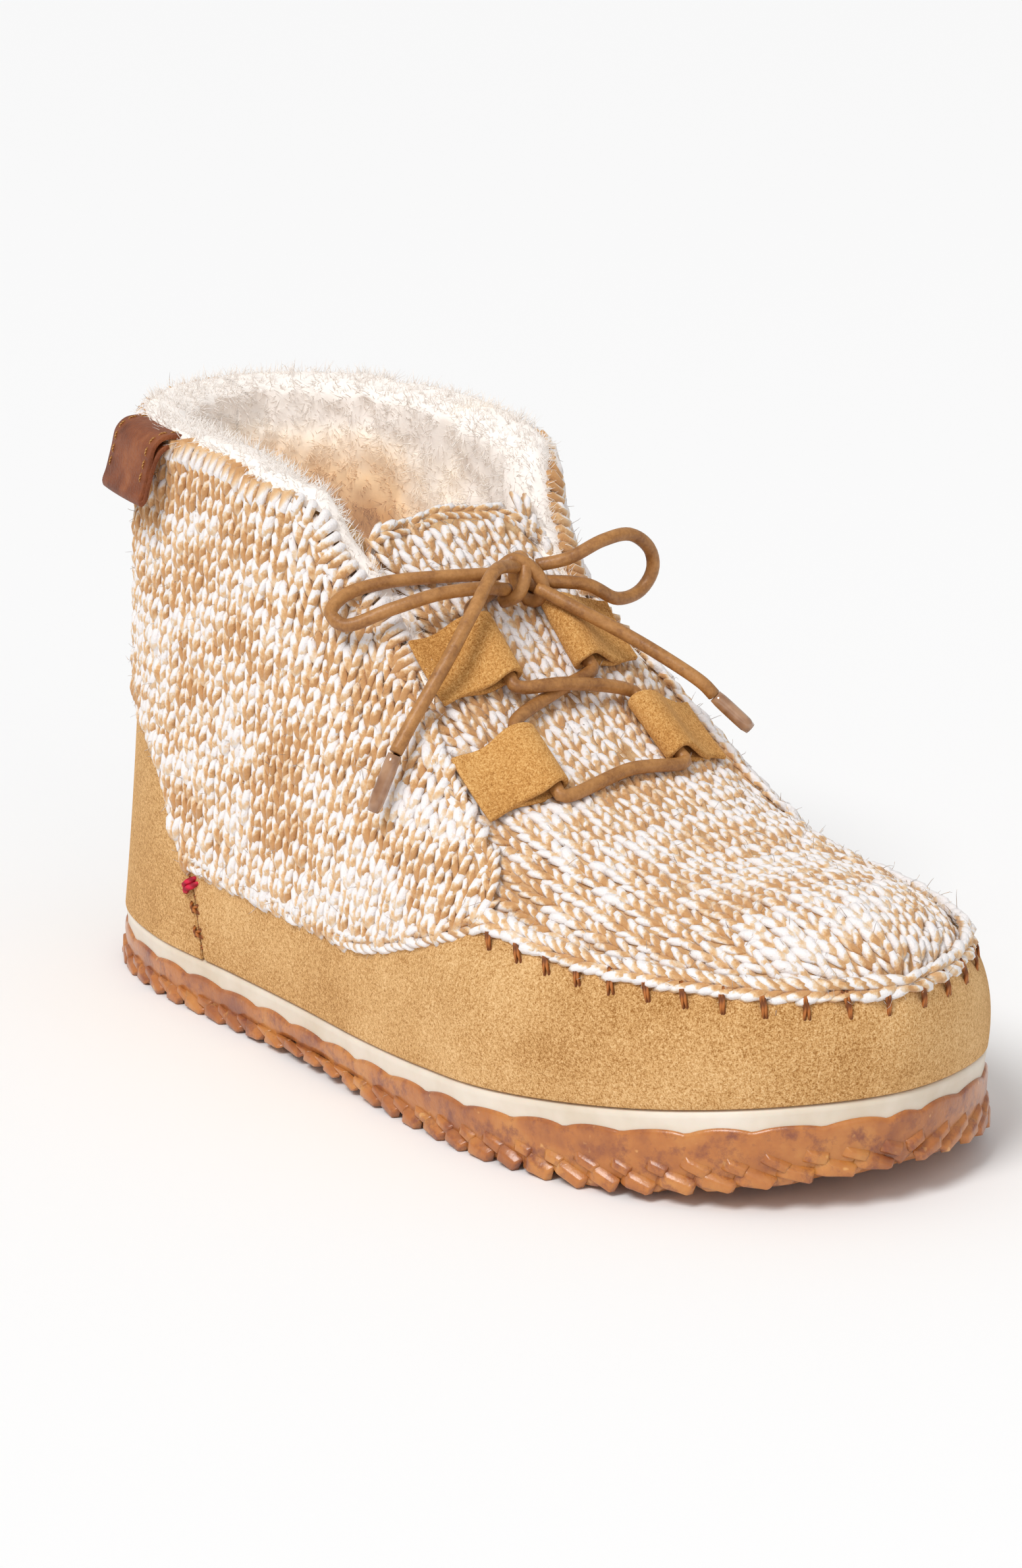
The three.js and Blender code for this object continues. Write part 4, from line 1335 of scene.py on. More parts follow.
def yarn_finish():
    inputs = {"Roughness": 0.9, "Specular IOR Level": 0.2, "Sheen Weight": 0.3, "Sheen Roughness": 0.5,
              "Subsurface Weight": 0.12, "Subsurface Scale": 0.0015, "Subsurface Radius": (1.0, 0.85, 0.7)}
    made, tree, shader = new_material("marled_yarn", inputs)
    place = object_place(tree)
    along, around = along_and_around(tree)
    share = add_node(tree, "ShaderNodeAttribute", attribute_name="white").outputs["Fac"]
    wisp = noise(tree, place, scale=700, detail=3, rough=0.6)
    fibre = noise(tree, place, scale=1800, detail=3, rough=0.7)
    turn = plus(tree, around, along, 1.15)
    ply = ripple(tree, plus(tree, turn, wisp, 0.35))
    lean = math_node(tree, "MULTIPLY", math_node(tree, "SUBTRACT", share, 0.5), 1.7)
    white = plus(tree, lean, ply, 0.8)
    flecked = plus(tree, white, math_node(tree, "SUBTRACT", wisp, 0.5), 1.6)
    stops = [(0.05, YARN_BROWN), (0.3, YARN_TAN), (0.5, YARN_CREAM), (0.68, YARN_WHITE)]
    paint(tree, shader, plus(tree, 0.5, flecked, 0.5), stops)
    add_bump(tree, shader, blend(tree, ply, 0.45, fibre, 0.8), 0.0005, 0.7)
    return made


def cloth_finish():
    made, tree, shader = new_material("knit_ground", {"Roughness": 0.95, "Specular IOR Level": 0.1})
    place = object_place(tree)
    cloud = noise(tree, place, scale=260, detail=4, rough=0.6)
    paint(tree, shader, cloud, [(0.35, GROUND_DARK), (0.65, GROUND_LIGHT)])
    add_bump(tree, shader, noise(tree, place, scale=900, detail=3, rough=0.6), 0.0006, 0.7)
    return made


def dress_node(node_name, material):
    """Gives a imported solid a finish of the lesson."""
    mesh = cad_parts[node_name].data
    mesh.materials.clear()
    mesh.materials.append(material)


marled_yarn = yarn_finish()
knit_ground = cloth_finish()
for node_name in ("upper", "tongue"):
    dress_node(node_name, knit_ground)
print("finishes", marled_yarn.name, knit_ground.name)

# %% Pools of white yarn
FIELD = 97
POOL = {"along": 20.0, "courses": 2.6, "weight": 0.85}
STREAK = {"along": 7, "courses": 1.2, "weight": 0.5}
WHITE_MEAN = 0.52
WHITE_CHANCE = 0.1


def soft_field(seed, first, second):
    """Smooth random numbers between 0 and 1 over a plane, one cell per unit."""
    grid = np.random.default_rng(seed).random((FIELD, FIELD))
    i = np.floor(first).astype(int)
    j = np.floor(second).astype(int)
    u = first - i
    v = second - j
    u = u * u * (3 - 2 * u)
    v = v * v * (3 - 2 * v)
    i, next_i = i % FIELD, (i + 1) % FIELD
    j, next_j = j % FIELD, (j + 1) % FIELD
    a, b = grid[i, j], grid[next_i, j]
    c, d = grid[i, next_j], grid[next_i, next_j]
    return (a * (1 - u) + b * u) * (1 - v) + (c * (1 - u) + d * u) * v


def white_share(seed, along, course, rng):
    """Share of white yarn: long pools along the courses, and a little chance."""
    pool = soft_field(seed, along / POOL["along"] + 40, course / POOL["courses"] + 40)
    streak = soft_field(seed + 1, along / STREAK["along"] + 40, course / STREAK["courses"] + 40)
    share = WHITE_MEAN + POOL["weight"] * (pool - 0.5) + STREAK["weight"] * (streak - 0.5)
    return np.clip(share + rng.normal(0, WHITE_CHANCE, len(along)), 0.02, 0.98)


print("pools of", POOL["along"], "mm over", POOL["courses"], "courses")

# %% Stitch legs
WALE = 4.9
COURSE = 3.5
LEG_SIDES = 6
LEG_ACROSS = np.array([0.2, 0.6, 1.15, 1.7, 2.0]) * WALE / 5
LEG_ALONG = np.array([-0.92, -0.5, 0.02, 0.56, 1.02]) * COURSE
LEG_OUT = np.array([-0.6, 0.2, 0.45, 0.2, -0.7])
LEG_RADIUS = np.array([0.5, 0.95, 1.1, 1.0, 0.48])
LEG_TILT = np.linspace(-1, 1, len(LEG_RADIUS))
LEG_UNEVEN = {"place": 0.2, "lean": 0.24, "share": 0.1, "size": 0.14}
LEG_SIZE = {"mean": 0.95, "by_white": 0.3, "least": 0.66, "most": 1.36}


def stitch_legs(centre, up, out, share, rng):
    """Both legs of every stitch as paths, with radii, normals and shares."""
    across = unit(np.cross(up, out))
    centre = centre + rng.normal(0, LEG_UNEVEN["place"], centre.shape)
    paths = []
    for hand in (-1, 1):
        lean = rng.normal(0, LEG_UNEVEN["lean"], len(centre))
        side = hand * LEG_ACROSS[None, :] + lean[:, None] * LEG_TILT[None, :]
        path = centre[:, None, :] + side[..., None] * across[:, None, :]
        path = path + LEG_ALONG[None, :, None] * up[:, None, :]
        paths.append(path + LEG_OUT[None, :, None] * out[:, None, :])
    share = np.tile(share, 2) + rng.normal(0, LEG_UNEVEN["share"], 2 * len(share))
    size = rng.normal(LEG_SIZE["mean"], LEG_UNEVEN["size"], len(share)) + LEG_SIZE["by_white"] * (share - 0.5)
    size = np.clip(size, LEG_SIZE["least"], LEG_SIZE["most"])
    radii = size[:, None] * LEG_RADIUS[None, :]
    return np.concatenate(paths), radii, np.tile(out, (2, 1)), np.clip(share, 0, 1)


def add_knit(name, legs):
    paths, radii, ups, share = legs
    obj = strand_mesh(name, paths, radii, LEG_SIDES, ups, {"white": share})
    return finish_piece(obj, marled_yarn, "knit")


print("stitch of", WALE, "by", COURSE, "mm")


# %% Ribs of the quarters
QUARTER_CORNERS = COUNTER_EDGE[:1:-1] + QUARTER_LOWER + QUARTER_FRONT + COLLAR_FRONT
QUARTER_CORNERS += [(-40, 160), (-145, 160)]
QUARTER_ROWS = np.linspace(0, 9.6, 289)
QUARTER_Z = np.arange(30, 131.5, 1.5)
YARN_SINK = 0.35
QUARTER_LIFT = QUARTER_STEP - YARN_SINK
TOP_LEVEL = 0.992


def inside(corners, x, z):
    """True for points within a closed drawing."""
    corners = np.asarray(corners, float)
    result = np.zeros(x.shape, bool)
    for (ax, az), (bx, bz) in zip(corners, np.roll(corners, -1, axis=0)):
        if az == bz:
            continue
        spans = (az > z) != (bz > z)
        result ^= spans & (x < (bx - ax) * (z - az) / (bz - az) + ax)
    return result


def rib_lines(side, lift):
    """Rows and levels along each upright rib, evenly spaced from the heel line at every height."""
    net = on_last(side, QUARTER_ROWS[:, None], NET_LEVELS[None, :], lift)
    levels = np.array([np.interp(QUARTER_Z, line[:, 2], NET_LEVELS) for line in net])
    skin = on_last(side, QUARTER_ROWS[:, None], levels, lift)
    steps = np.linalg.norm(np.diff(skin, axis=0), axis=2)
    run = np.concatenate([np.zeros((1, len(QUARTER_Z))), np.cumsum(steps, axis=0)])
    ribs = np.arange(WALE / 2, run.max(), WALE)
    rows = [np.interp(ribs, line, QUARTER_ROWS) for line in run.T]
    rib_levels = [np.interp(row, QUARTER_ROWS, level) for row, level in zip(rows, levels.T)]
    return ribs, np.array(rows).T, np.array(rib_levels).T


def quarter_stitches(side):
    """Places of all stitches on one quarter."""
    found = {"row": [], "level": [], "run": [], "course": []}
    for rib, row, level in zip(*rib_lines(side, QUARTER_LIFT)):
        run = run_along(on_last(side, row, level, QUARTER_LIFT))
        at = np.arange(COURSE / 2, run[-1], COURSE)
        found["row"].append(np.interp(at, run, row))
        found["level"].append(np.interp(at, run, level))
        found["run"].append(np.full(len(at), rib * side))
        found["course"].append(np.arange(len(at)))
    found = {key: np.concatenate(parts) for key, parts in found.items()}
    centre = on_last(side, found["row"], found["level"], QUARTER_LIFT)
    keep = inside(QUARTER_CORNERS, centre[:, 0], centre[:, 2]) & (found["level"] < TOP_LEVEL)
    return centre[keep], {key: values[keep] for key, values in found.items()}


print("stitches on the lateral quarter", len(quarter_stitches(LATERAL)[0]))

# %% Quarters
UPRIGHT = np.array([-0.05, 0, 1.0])
SKIN_SHARE = 0.35


def along_skin(directions, out):
    """The part of each direction that lies in the skin."""
    return unit(directions - out * (directions * out).sum(axis=1, keepdims=True))


def up_the_last(side, row, level):
    """Direction up the last from a level, at most to its top edge."""
    step = 0.01
    return unit(last(side, row, np.minimum(level + step, 1)) - last(side, row, level - step))


def add_quarter(side, name):
    rng = np.random.default_rng(21 + side)
    centre, found = quarter_stitches(side)
    out = outward(side, found["row"], found["level"])
    up = unit(SKIN_SHARE * up_the_last(side, found["row"], found["level"]) + UPRIGHT)
    share = white_share(5, found["run"], found["course"], rng)
    return add_knit(name, stitch_legs(centre, along_skin(up, out), out, share, rng))


quarters = {
    LATERAL: add_quarter(LATERAL, "knit_quarter_lateral"),
    MEDIAL: add_quarter(MEDIAL, "knit_quarter_medial"),
}
print("quarters", [triangles(obj) for obj in quarters.values()])

# %% Height of the vamp
VAMP_STEP = {"x": 1.0, "y": 0.5}
VAMP_X = np.arange(-30, 127.1, VAMP_STEP["x"])
VAMP_Y = np.arange(-62, 62.1, VAMP_STEP["y"])
VAMP_LOWEST = 38
VAMP_ROWS = np.linspace(6.0, END_ROW, 251)
VAMP_NET = {side: last(side, VAMP_ROWS[:, None], NET_LEVELS[None, :]) for side in SIDES}
CARRIED = 2


def cross_section(side, x):
    """Points across one side of the vamp at a place along the foot."""
    net = VAMP_NET[side]
    hit = (net[:, 0, 0] >= x) & (net[:, -1, 0] <= x)
    y = np.array([np.interp(x, line[::-1, 0], line[::-1, 1]) for line in net[hit]])
    z = np.array([np.interp(x, line[::-1, 0], line[::-1, 2]) for line in net[hit]])
    return y, z


def vamp_heights():
    """Height of the vamp over a plan grid; missing places are not numbers."""
    heights = np.full((len(VAMP_X), len(VAMP_Y)), np.nan)
    for index, x in enumerate(VAMP_X):
        parts = [cross_section(side, x) for side in SIDES]
        y = np.concatenate([part[0] for part in parts])
        z = np.concatenate([part[1] for part in parts])
        keep = z > VAMP_LOWEST
        order = np.argsort(y[keep])
        if keep.sum() > 3:
            heights[index] = np.interp(VAMP_Y, y[keep][order], z[keep][order], left=np.nan, right=np.nan)
    return carried_back(heights)


def carried_back(heights):
    """Carries each line of the grid on past the top of the last with its own slope."""
    for column in heights.T:
        known = np.flatnonzero(~np.isnan(column))
        if len(known) > 2:
            start = known[0]
            back = max(start - CARRIED, 0)
            slope = (column[start] - column[start + 2]) / 2
            column[back:start] = column[start] + slope * np.arange(start - back, 0, -1)
    return heights


HEIGHT = vamp_heights()


def height_at(x, y):
    """Height of the vamp above places of the plan."""
    i = np.clip((x - VAMP_X[0]) / VAMP_STEP["x"], 0, len(VAMP_X) - 1.001)
    j = np.clip((y - VAMP_Y[0]) / VAMP_STEP["y"], 0, len(VAMP_Y) - 1.001)
    a, b = i.astype(int), j.astype(int)
    u, v = i - a, j - b
    low = HEIGHT[a, b] * (1 - v) + HEIGHT[a, b + 1] * v
    high = HEIGHT[a + 1, b] * (1 - v) + HEIGHT[a + 1, b + 1] * v
    return low * (1 - u) + high * u


def vamp_skin(x, y):
    """Points of the vamp above places of the plan, and the directions out of it."""
    z = height_at(x, y)
    slope_x = (height_at(x + 1, y) - height_at(x - 1, y)) / 2
    slope_y = (height_at(x, y + 0.7) - height_at(x, y - 0.7)) / 1.4
    out = unit(np.stack([-slope_x, -slope_y, np.ones_like(z)], -1))
    return np.stack([x, y, z], -1), out


print("highest place of the vamp", round(float(np.nanmax(HEIGHT)), 1), "mm")

# %% Ribs of the vamp
VAMP_RIBS = np.arange(-13, 14)
MIDDLE_LINE = {"x": [-24, 24, 66], "y": [-4, -4, 0]}


def rib_offsets():
    """Side place of each rib along the foot, at even lengths across the skin from the middle line."""
    place = np.full((len(VAMP_X), len(VAMP_RIBS)), np.nan)
    for index, x in enumerate(VAMP_X):
        z = HEIGHT[index]
        good = ~np.isnan(z)
        if good.sum() < 5:
            continue
        y = VAMP_Y[good]
        run = np.concatenate([[0], np.cumsum(np.hypot(np.diff(y), np.diff(z[good])))])
        middle = np.interp(np.interp(x, MIDDLE_LINE["x"], MIDDLE_LINE["y"]), y, run)
        place[index] = np.interp(middle + VAMP_RIBS * WALE, run, y, left=np.nan, right=np.nan)
    return place


def vamp_stitches():
    """Places of the plan for all stitches of the vamp and the tongue."""
    found = {"x": [], "y": [], "rib": [], "course": []}
    place = rib_offsets()
    for number, rib in enumerate(VAMP_RIBS):
        good = ~np.isnan(place[:, number])
        line = np.column_stack([VAMP_X[good], place[good, number]])
        z = height_at(line[:, 0], line[:, 1])
        line = np.column_stack([line, z])[~np.isnan(z)]
        if len(line) < 4:
            continue
        run = run_along(line)
        at = np.arange(COURSE / 2, run[-1], COURSE)
        found["x"].append(np.interp(at, run, line[:, 0]))
        found["y"].append(np.interp(at, run, line[:, 1]))
        found["rib"].append(np.full(len(at), rib))
        found["course"].append(np.arange(len(at)))
    return {key: np.concatenate(parts) for key, parts in found.items()}


print("stitches on the vamp and tongue", len(vamp_stitches()["x"]))

# %% Vamp and tongue
FRONT_LINE = np.array(QUARTER_FRONT + COLLAR_FRONT, float)
VAMP_UNDER = {"quarter": 4, "rand": 0.4}
TONGUE_KNIT = {"highest": 119.5, "below_rim": 2.6, "tan": -0.14}
BACKWARDS = np.array([-1.0, 0.0, 0.0])


def on_tongue(x, y):
    """True inside the throat: straight sides and a rounded end."""
    bow = np.clip((x - THROAT["straight"]) / (THROAT["end"] - THROAT["straight"]), 0, 1)
    half = THROAT["half"] * np.sqrt(np.maximum(1 - bow ** 2, 0))
    return (np.abs(y - THROAT["centre"]) < half) & (x < THROAT["end"])


def tongue_top(y):
    """Height of the tongue's rounded upper edge."""
    across = (y - TONGUE_TOP["centre"]) / TONGUE_TOP["half"]
    return TONGUE_TOP["z"] - TONGUE_TOP["drop"] * np.abs(across) ** 4


def add_vamp():
    rng = np.random.default_rng(31)
    found = vamp_stitches()
    centre, out = vamp_skin(found["x"], found["y"])
    tongue = on_tongue(found["x"], found["y"])
    x, y, z = centre.T
    front = np.interp(z, FRONT_LINE[:, 1], FRONT_LINE[:, 0])
    apron = np.interp(x, RAND_TOP[:, 0], RAND_TOP[:, 1])
    good = ~np.isnan(out).any(axis=1)
    vamp_part = good & ~tongue & (x > front - VAMP_UNDER["quarter"]) & (z > apron - VAMP_UNDER["rand"])
    rim_height = np.minimum(tongue_top(y), TONGUE_KNIT["highest"])
    tongue_part = good & tongue & (z < rim_height - TONGUE_KNIT["below_rim"])
    up = along_skin(BACKWARDS, out)
    share = white_share(71, found["rib"] * WALE, found["course"], rng)
    made = []
    pieces = (("knit_vamp", vamp_part, 0.0), ("knit_tongue", tongue_part, TONGUE_KNIT["tan"]))
    for name, part, change in pieces:
        sunk = centre[part] - out[part] * YARN_SINK
        made.append(add_knit(name, stitch_legs(sunk, up[part], out[part], share[part] + change, rng)))
    return made


vamp = add_vamp()
print("vamp and tongue", [triangles(obj) for obj in vamp])

# %% [markdown]
# ## Knitted edges
# A hand knitter closes an edge by casting off, which leaves a chain of stitches along it. The same two legs,
# set in a single line, make such chains round the quarters, the apron, the heel counter and the tongue. The
# collar is overcast instead: one strand of yarn winds over the edge in slanted wraps.

# %% Cast-off chains
EDGE_STEP = 3.0
EDGE_SIZE = 0.86
EDGE_POOL = {"along": 12, "weight": 0.9, "chance": 0.1}


def at_lengths(at, run, rows):
    """Rows of a table, read at lengths along a line."""
    return np.column_stack([np.interp(at, run, rows[:, k]) for k in range(rows.shape[1])])


def chain_legs(path, out, seed, share_mean, size=EDGE_SIZE):
    """A cast-off chain: stitches in a single line along an edge."""
    rng = np.random.default_rng(seed)
    run = run_along(path)
    at = np.arange(EDGE_STEP / 2, run[-1], EDGE_STEP)
    centre = at_lengths(at, run, path)
    normal = unit(at_lengths(at, run, out))
    heading = along_skin(at_lengths(at, run, np.gradient(path, run, axis=0)), normal)
    pool = soft_field(seed, at / EDGE_POOL["along"], np.zeros_like(at)) - 0.5
    share = share_mean + EDGE_POOL["weight"] * pool + rng.normal(0, EDGE_POOL["chance"], len(at))
    paths, radii, ups, share = stitch_legs(centre, heading, normal, np.clip(share, 0, 1), rng)
    middle = np.tile(centre, (2, 1))[:, None, :]
    return middle + (paths - middle) * size, radii * size, ups, share


def join_legs(*groups):
    return tuple(np.concatenate([group[k] for group in groups]) for k in range(4))


print("chain stitches", EDGE_STEP, "mm apart")

# %% Edge lines
BORDER_STEP = 1.5
EDGE_SINK = 0.4
APRON_CHAIN = {"size": 1.04, "lift": 1.2, "raise": np.array([0, 0, 1.7])}
COUNTER_CHAIN = {"sink": 0.2, "lowest": 36, "front": -60, "move": np.array([0.5, 0, 0.8])}
TONGUE_CHAIN = {"first_row": 6.05, "points": 40, "below": 0.8}
QUARTER_BORDER = [(-70, 35.2), (-60, 35.2), (-30, 35), *QUARTER_LOWER[1:], (45, 49.4), *QUARTER_FRONT[1:],
                  *COLLAR_FRONT[:4], (-28, 121), (-33, 124.3)]


def quarter_border(side):
    drawing = rounded(QUARTER_BORDER, BORDER_STEP)
    row, level = side_place(side, drawing[:, 0], drawing[:, 1], QUARTER_STEP)
    return on_last(side, row, level, QUARTER_STEP - EDGE_SINK), outward(side, row, level)


def tongue_rim(side, rows):
    """Level of the tongue's rounded top on each row across the front of the ankle."""
    edge = top_edge(side, rows)
    limit = np.minimum(edge[:, 2], tongue_top(edge[:, 1])) - TONGUE_CHAIN["below"]
    levels = np.linspace(0.5, 1, 101)
    heights = last(side, rows[:, None], levels[None, :])[..., 2]
    return np.array([np.interp(z, line, levels) for z, line in zip(limit, heights)])


def tongue_border():
    """The tongue's top edge from its lateral corner over the ridge to its medial corner."""
    rows = np.linspace(TONGUE_CHAIN["first_row"], RIDGE_ROW, TONGUE_CHAIN["points"])
    halves = []
    for side, order in ((LATERAL, rows), (MEDIAL, rows[-2::-1])):
        level = tongue_rim(side, order)
        halves.append((on_last(side, order, level, -EDGE_SINK), outward(side, order, level)))
    return tuple(np.concatenate([half[k] for half in halves]) for k in range(2))


def apron_border(side):
    rows, levels, line = apron_path(side, APRON_CHAIN["lift"])
    return line + APRON_CHAIN["raise"], outward(side, rows, levels)


def counter_border(side):
    top = COUNTER_LIMITS[side][0]
    line = on_last(side, NET_ROWS, top, RAND_LIFT - COUNTER_CHAIN["sink"])
    keep = (line[:, 2] > COUNTER_CHAIN["lowest"]) & (line[:, 0] < COUNTER_CHAIN["front"])
    return line[keep] + COUNTER_CHAIN["move"], outward(side, NET_ROWS[keep], top[keep])


borders = [chain_legs(*quarter_border(side), 40 + side, 0.5) for side in SIDES]
borders += [chain_legs(*apron_border(side), 43 + side, 0.72, APRON_CHAIN["size"]) for side in SIDES]
borders += [chain_legs(*counter_border(side), 50 + side, 0.5) for side in SIDES]
knit_edges = add_knit("knit_edges", join_legs(*borders, chain_legs(*tongue_border(), 47, 0.4)))
print("edges", triangles(knit_edges))

# %% Overcast collar
WRAP_STEP = 2.7
WRAP_LIFT = np.array([1.6, 3.1, 2.2, -0.6, -2.2])
WRAP_DROP = np.array([5.2, 2.2, -1.0, -1.2, 1.6])
WRAP_RADIUS = np.array([0.6, 1.15, 1.3, 1.15, 0.6])
WRAP_SLANT = np.linspace(1.3, -1.3, len(WRAP_RADIUS))
WRAP_POOL = {"mean": 0.42, "along": 9, "weight": 0.8}
RIM_ROWS = np.linspace(5.25, 0, 160)
FRONT_EDGE = [(-33, 125), *COLLAR_FRONT[4::-1], *QUARTER_FRONT[:-3:-1]]


def rim_edge(side):
    """The collar's top edge from the front back to the heel, with its outward direction."""
    out = outward(side, RIM_ROWS, np.ones_like(RIM_ROWS))
    out[:, 2] = 0
    return top_edge(side, RIM_ROWS), unit(out), np.tile([0, 0, 1.0], (len(RIM_ROWS), 1))


def front_edge(side):
    """The quarter's front edge beside the tongue, with the directions out of it and past it."""
    drawing = rounded(FRONT_EDGE, BORDER_STEP)
    row, level = side_place(side, drawing[:, 0], drawing[:, 1])
    line = on_last(side, row, level, 0.0)
    out = outward(side, row, level)
    past = unit(np.cross(out, np.gradient(line, axis=0)))
    return line, out, past * np.sign(past[:, :1])


def wrap_legs(line, out, past, seed):
    """Yarn wrapped over an edge, slanted a little along it."""
    rng = np.random.default_rng(seed)
    run = run_along(line)
    at = np.arange(WRAP_STEP / 2, run[-1], WRAP_STEP)
    heading = unit(np.gradient(line, axis=0))
    edge, normal, beyond, along = (at_lengths(at, run, rows) for rows in (line, out, past, heading))
    path = edge[:, None, :] + WRAP_LIFT[None, :, None] * normal[:, None, :]
    path = path - WRAP_DROP[None, :, None] * beyond[:, None, :]
    path = path + WRAP_SLANT[None, :, None] * along[:, None, :]
    path += rng.normal(0, 0.22, (len(at), 1, 3))
    radii = WRAP_RADIUS[None, :] * rng.uniform(0.8, 1.1, (len(at), 1))
    pool = soft_field(seed, at / WRAP_POOL["along"], np.zeros_like(at)) - 0.5
    share = np.clip(WRAP_POOL["mean"] + WRAP_POOL["weight"] * pool, 0, 1)
    return path, radii, along, share


wraps = [wrap_legs(*edge(side), 57 + side) for side in SIDES for edge in (rim_edge, front_edge)]
collar_edge = add_knit("knit_collar_edge", join_legs(*wraps))
print("collar wraps", triangles(collar_edge))

# %% [markdown]
# ## Fleece
# The boot is lined with shearling: a deep cream pile that rolls over the collar, turns tan inside the heel
# and covers the insole. A lumpy skin gives it body, and many short curved hairs stand on it. Hair particles
# are the usual way, but swept strands with few faces are plain mesh and keep their shape in any program. The
# depth below the collar is an attribute that the finish reads its colour from. Just inside the rim the cream
# is a little brighter than the rim itself, painted light for light scattered in the pile; deeper down the tan
# is partly the pile's roots and partly painted shade, reaching up soonest at the heel. A slight glow stands
# for the light that real pile passes on from hair to hair.

# %% Fleece finish
FLEECE_WHITE = linear(244, 237, 231)
# Painted light: the cream inside is brighter than the rim's white, for light scattered in the pile; it also
# colours the glow.
FLEECE_CREAM_GLOW = linear(255, 246, 235)
# Partly painted shade: the pile's roots show tan where it parts, and shade deepens it inside the boot.
FLEECE_TAN_AND_SHADE = linear(244, 212, 170)
FLEECE_ROOTS_AND_SHADE = linear(200, 150, 96)
PILE_GLOW = 0.085


def fleece_finish():
    inputs = {"Roughness": 1.0, "Specular IOR Level": 0.0, "Emission Color": FLEECE_CREAM_GLOW,
              "Emission Strength": PILE_GLOW}
    made, tree, shader = new_material("shearling", inputs)
    place = object_place(tree)
    depth = add_node(tree, "ShaderNodeAttribute", attribute_name="depth").outputs["Fac"]
    patch = noise(tree, place, scale=40, detail=4, rough=0.6)
    tone = plus(tree, depth, math_node(tree, "SUBTRACT", patch, 0.5), 0.7)
    # Ramp: white rim, brighter cream (painted light), then tan that is partly painted shade.
    stops = [(0.02, FLEECE_WHITE), (0.16, FLEECE_CREAM_GLOW), (0.62, FLEECE_TAN_AND_SHADE), (0.95, FLEECE_ROOTS_AND_SHADE)]
    paint(tree, shader, tone, stops)
    add_bump(tree, shader, noise(tree, place, scale=700, detail=4, rough=0.7), 0.0004, 0.3)
    return made


shearling = fleece_finish()
dress_node("insole", shearling)
print("finish", shearling.name)

# %% Lumps of the pile
FRONT = FRONT_LINE[np.argsort(FRONT_LINE[:, 1])]
COLLAR_RUN = run_along(top_edge(LATERAL, NET_ROWS))
LUMPS_WIDE = {"seed": 61, "along": 6.5, "up": 14, "shift": 60, "deep": 2.2}
LUMPS_FINE = {"seed": 66, "along": 2.8, "up": 34, "shift": 150, "deep": 1.5}


def front_limit(side):
    """Level on each net row where the collar's front edge is reached."""
    net = lifted_net(side, 0.0)
    return crossing(net[..., 0] - np.interp(net[..., 2], FRONT[:, 1], FRONT[:, 0]))


def lump_layer(layer, along, level):
    across = along / layer["along"] + layer["shift"]
    return layer["deep"] * (soft_field(layer["seed"], across, level * layer["up"] + 60) - 0.5)


def lumps(along, level):
    """Uneven thickness of the pile, along in millimetres; it has no step where the two sides meet."""
    return lump_layer(LUMPS_WIDE, along, level) + lump_layer(LUMPS_FINE, along, level)


FRONT_LIMIT = {side: front_limit(side) for side in SIDES}
print("collar from heel to toe", round(COLLAR_RUN[-1]), "mm")

# %% Fleece places
FLEECE_ROWS = 7.2
FLEECE_FOOT = 0.1
PILE = 10.0
ROLL = {"start": 0.8, "turn": 0.95 * np.pi, "rise": 3.4, "throat": 4.2, "middle": -1.2, "out": 2.8}
THROAT_ROWS = {"start": 4.8, "length": 0.8}
TONGUE_PILE = {"first_row": 6.1, "low": 0.72, "span": 0.285, "behind": -3.2, "deep": 3.0, "roll": 1.5}
INSOLE = {"inset": 10, "thick": 2.5, "pile": 1.6, "lumps": 0.6}


def place_fleece(across, up):
    """The lining from the insole up and over the collar's edge."""
    def half(side, share, mask):
        row = FLEECE_ROWS * (1 - share)
        limit = np.interp(row, NET_ROWS, FRONT_LIMIT[side])
        level = (FLEECE_FOOT + (1 - FLEECE_FOOT) * np.clip(up[mask] / ROLL["start"], 0, 1)) * limit
        turn = np.clip((up[mask] - ROLL["start"]) / (1 - ROLL["start"]), 0, 1) * ROLL["turn"]
        bump = lumps(side * np.interp(row, NET_ROWS, COLLAR_RUN), up[mask])
        reach = np.where(turn < np.pi / 2, PILE + ROLL["middle"] - bump, ROLL["out"])
        lift = ROLL["middle"] - reach * np.cos(turn)
        fuller = ROLL["throat"] * np.clip((row - THROAT_ROWS["start"]) / THROAT_ROWS["length"], 0, 1)
        rise = (ROLL["rise"] + fuller + 0.5 * bump) * np.sin(turn)
        return on_last(side, row, level, lift) + rise[:, None] * up_the_last(side, row, level)

    return both_sides(across, half)


def place_tongue_fleece(across, up):
    """The lining behind the tongue, up to its rounded top."""
    def half(side, share, mask):
        row = TONGUE_PILE["first_row"] + (RIDGE_ROW - TONGUE_PILE["first_row"]) * share
        level = tongue_rim(side, row) * (TONGUE_PILE["low"] + TONGUE_PILE["span"] * up[mask])
        bump = lumps(side * (RIDGE_ROW - row) * 20, up[mask])
        thick = (TONGUE_PILE["deep"] + bump) * np.clip((1 - up[mask]) * 6, 0, 1)
        forward = TONGUE_PILE["roll"] * np.clip(up[mask] * 6 - 5, 0, 1)
        return on_last(side, row, level, TONGUE_PILE["behind"] - thick + forward)

    return both_sides(across, half)


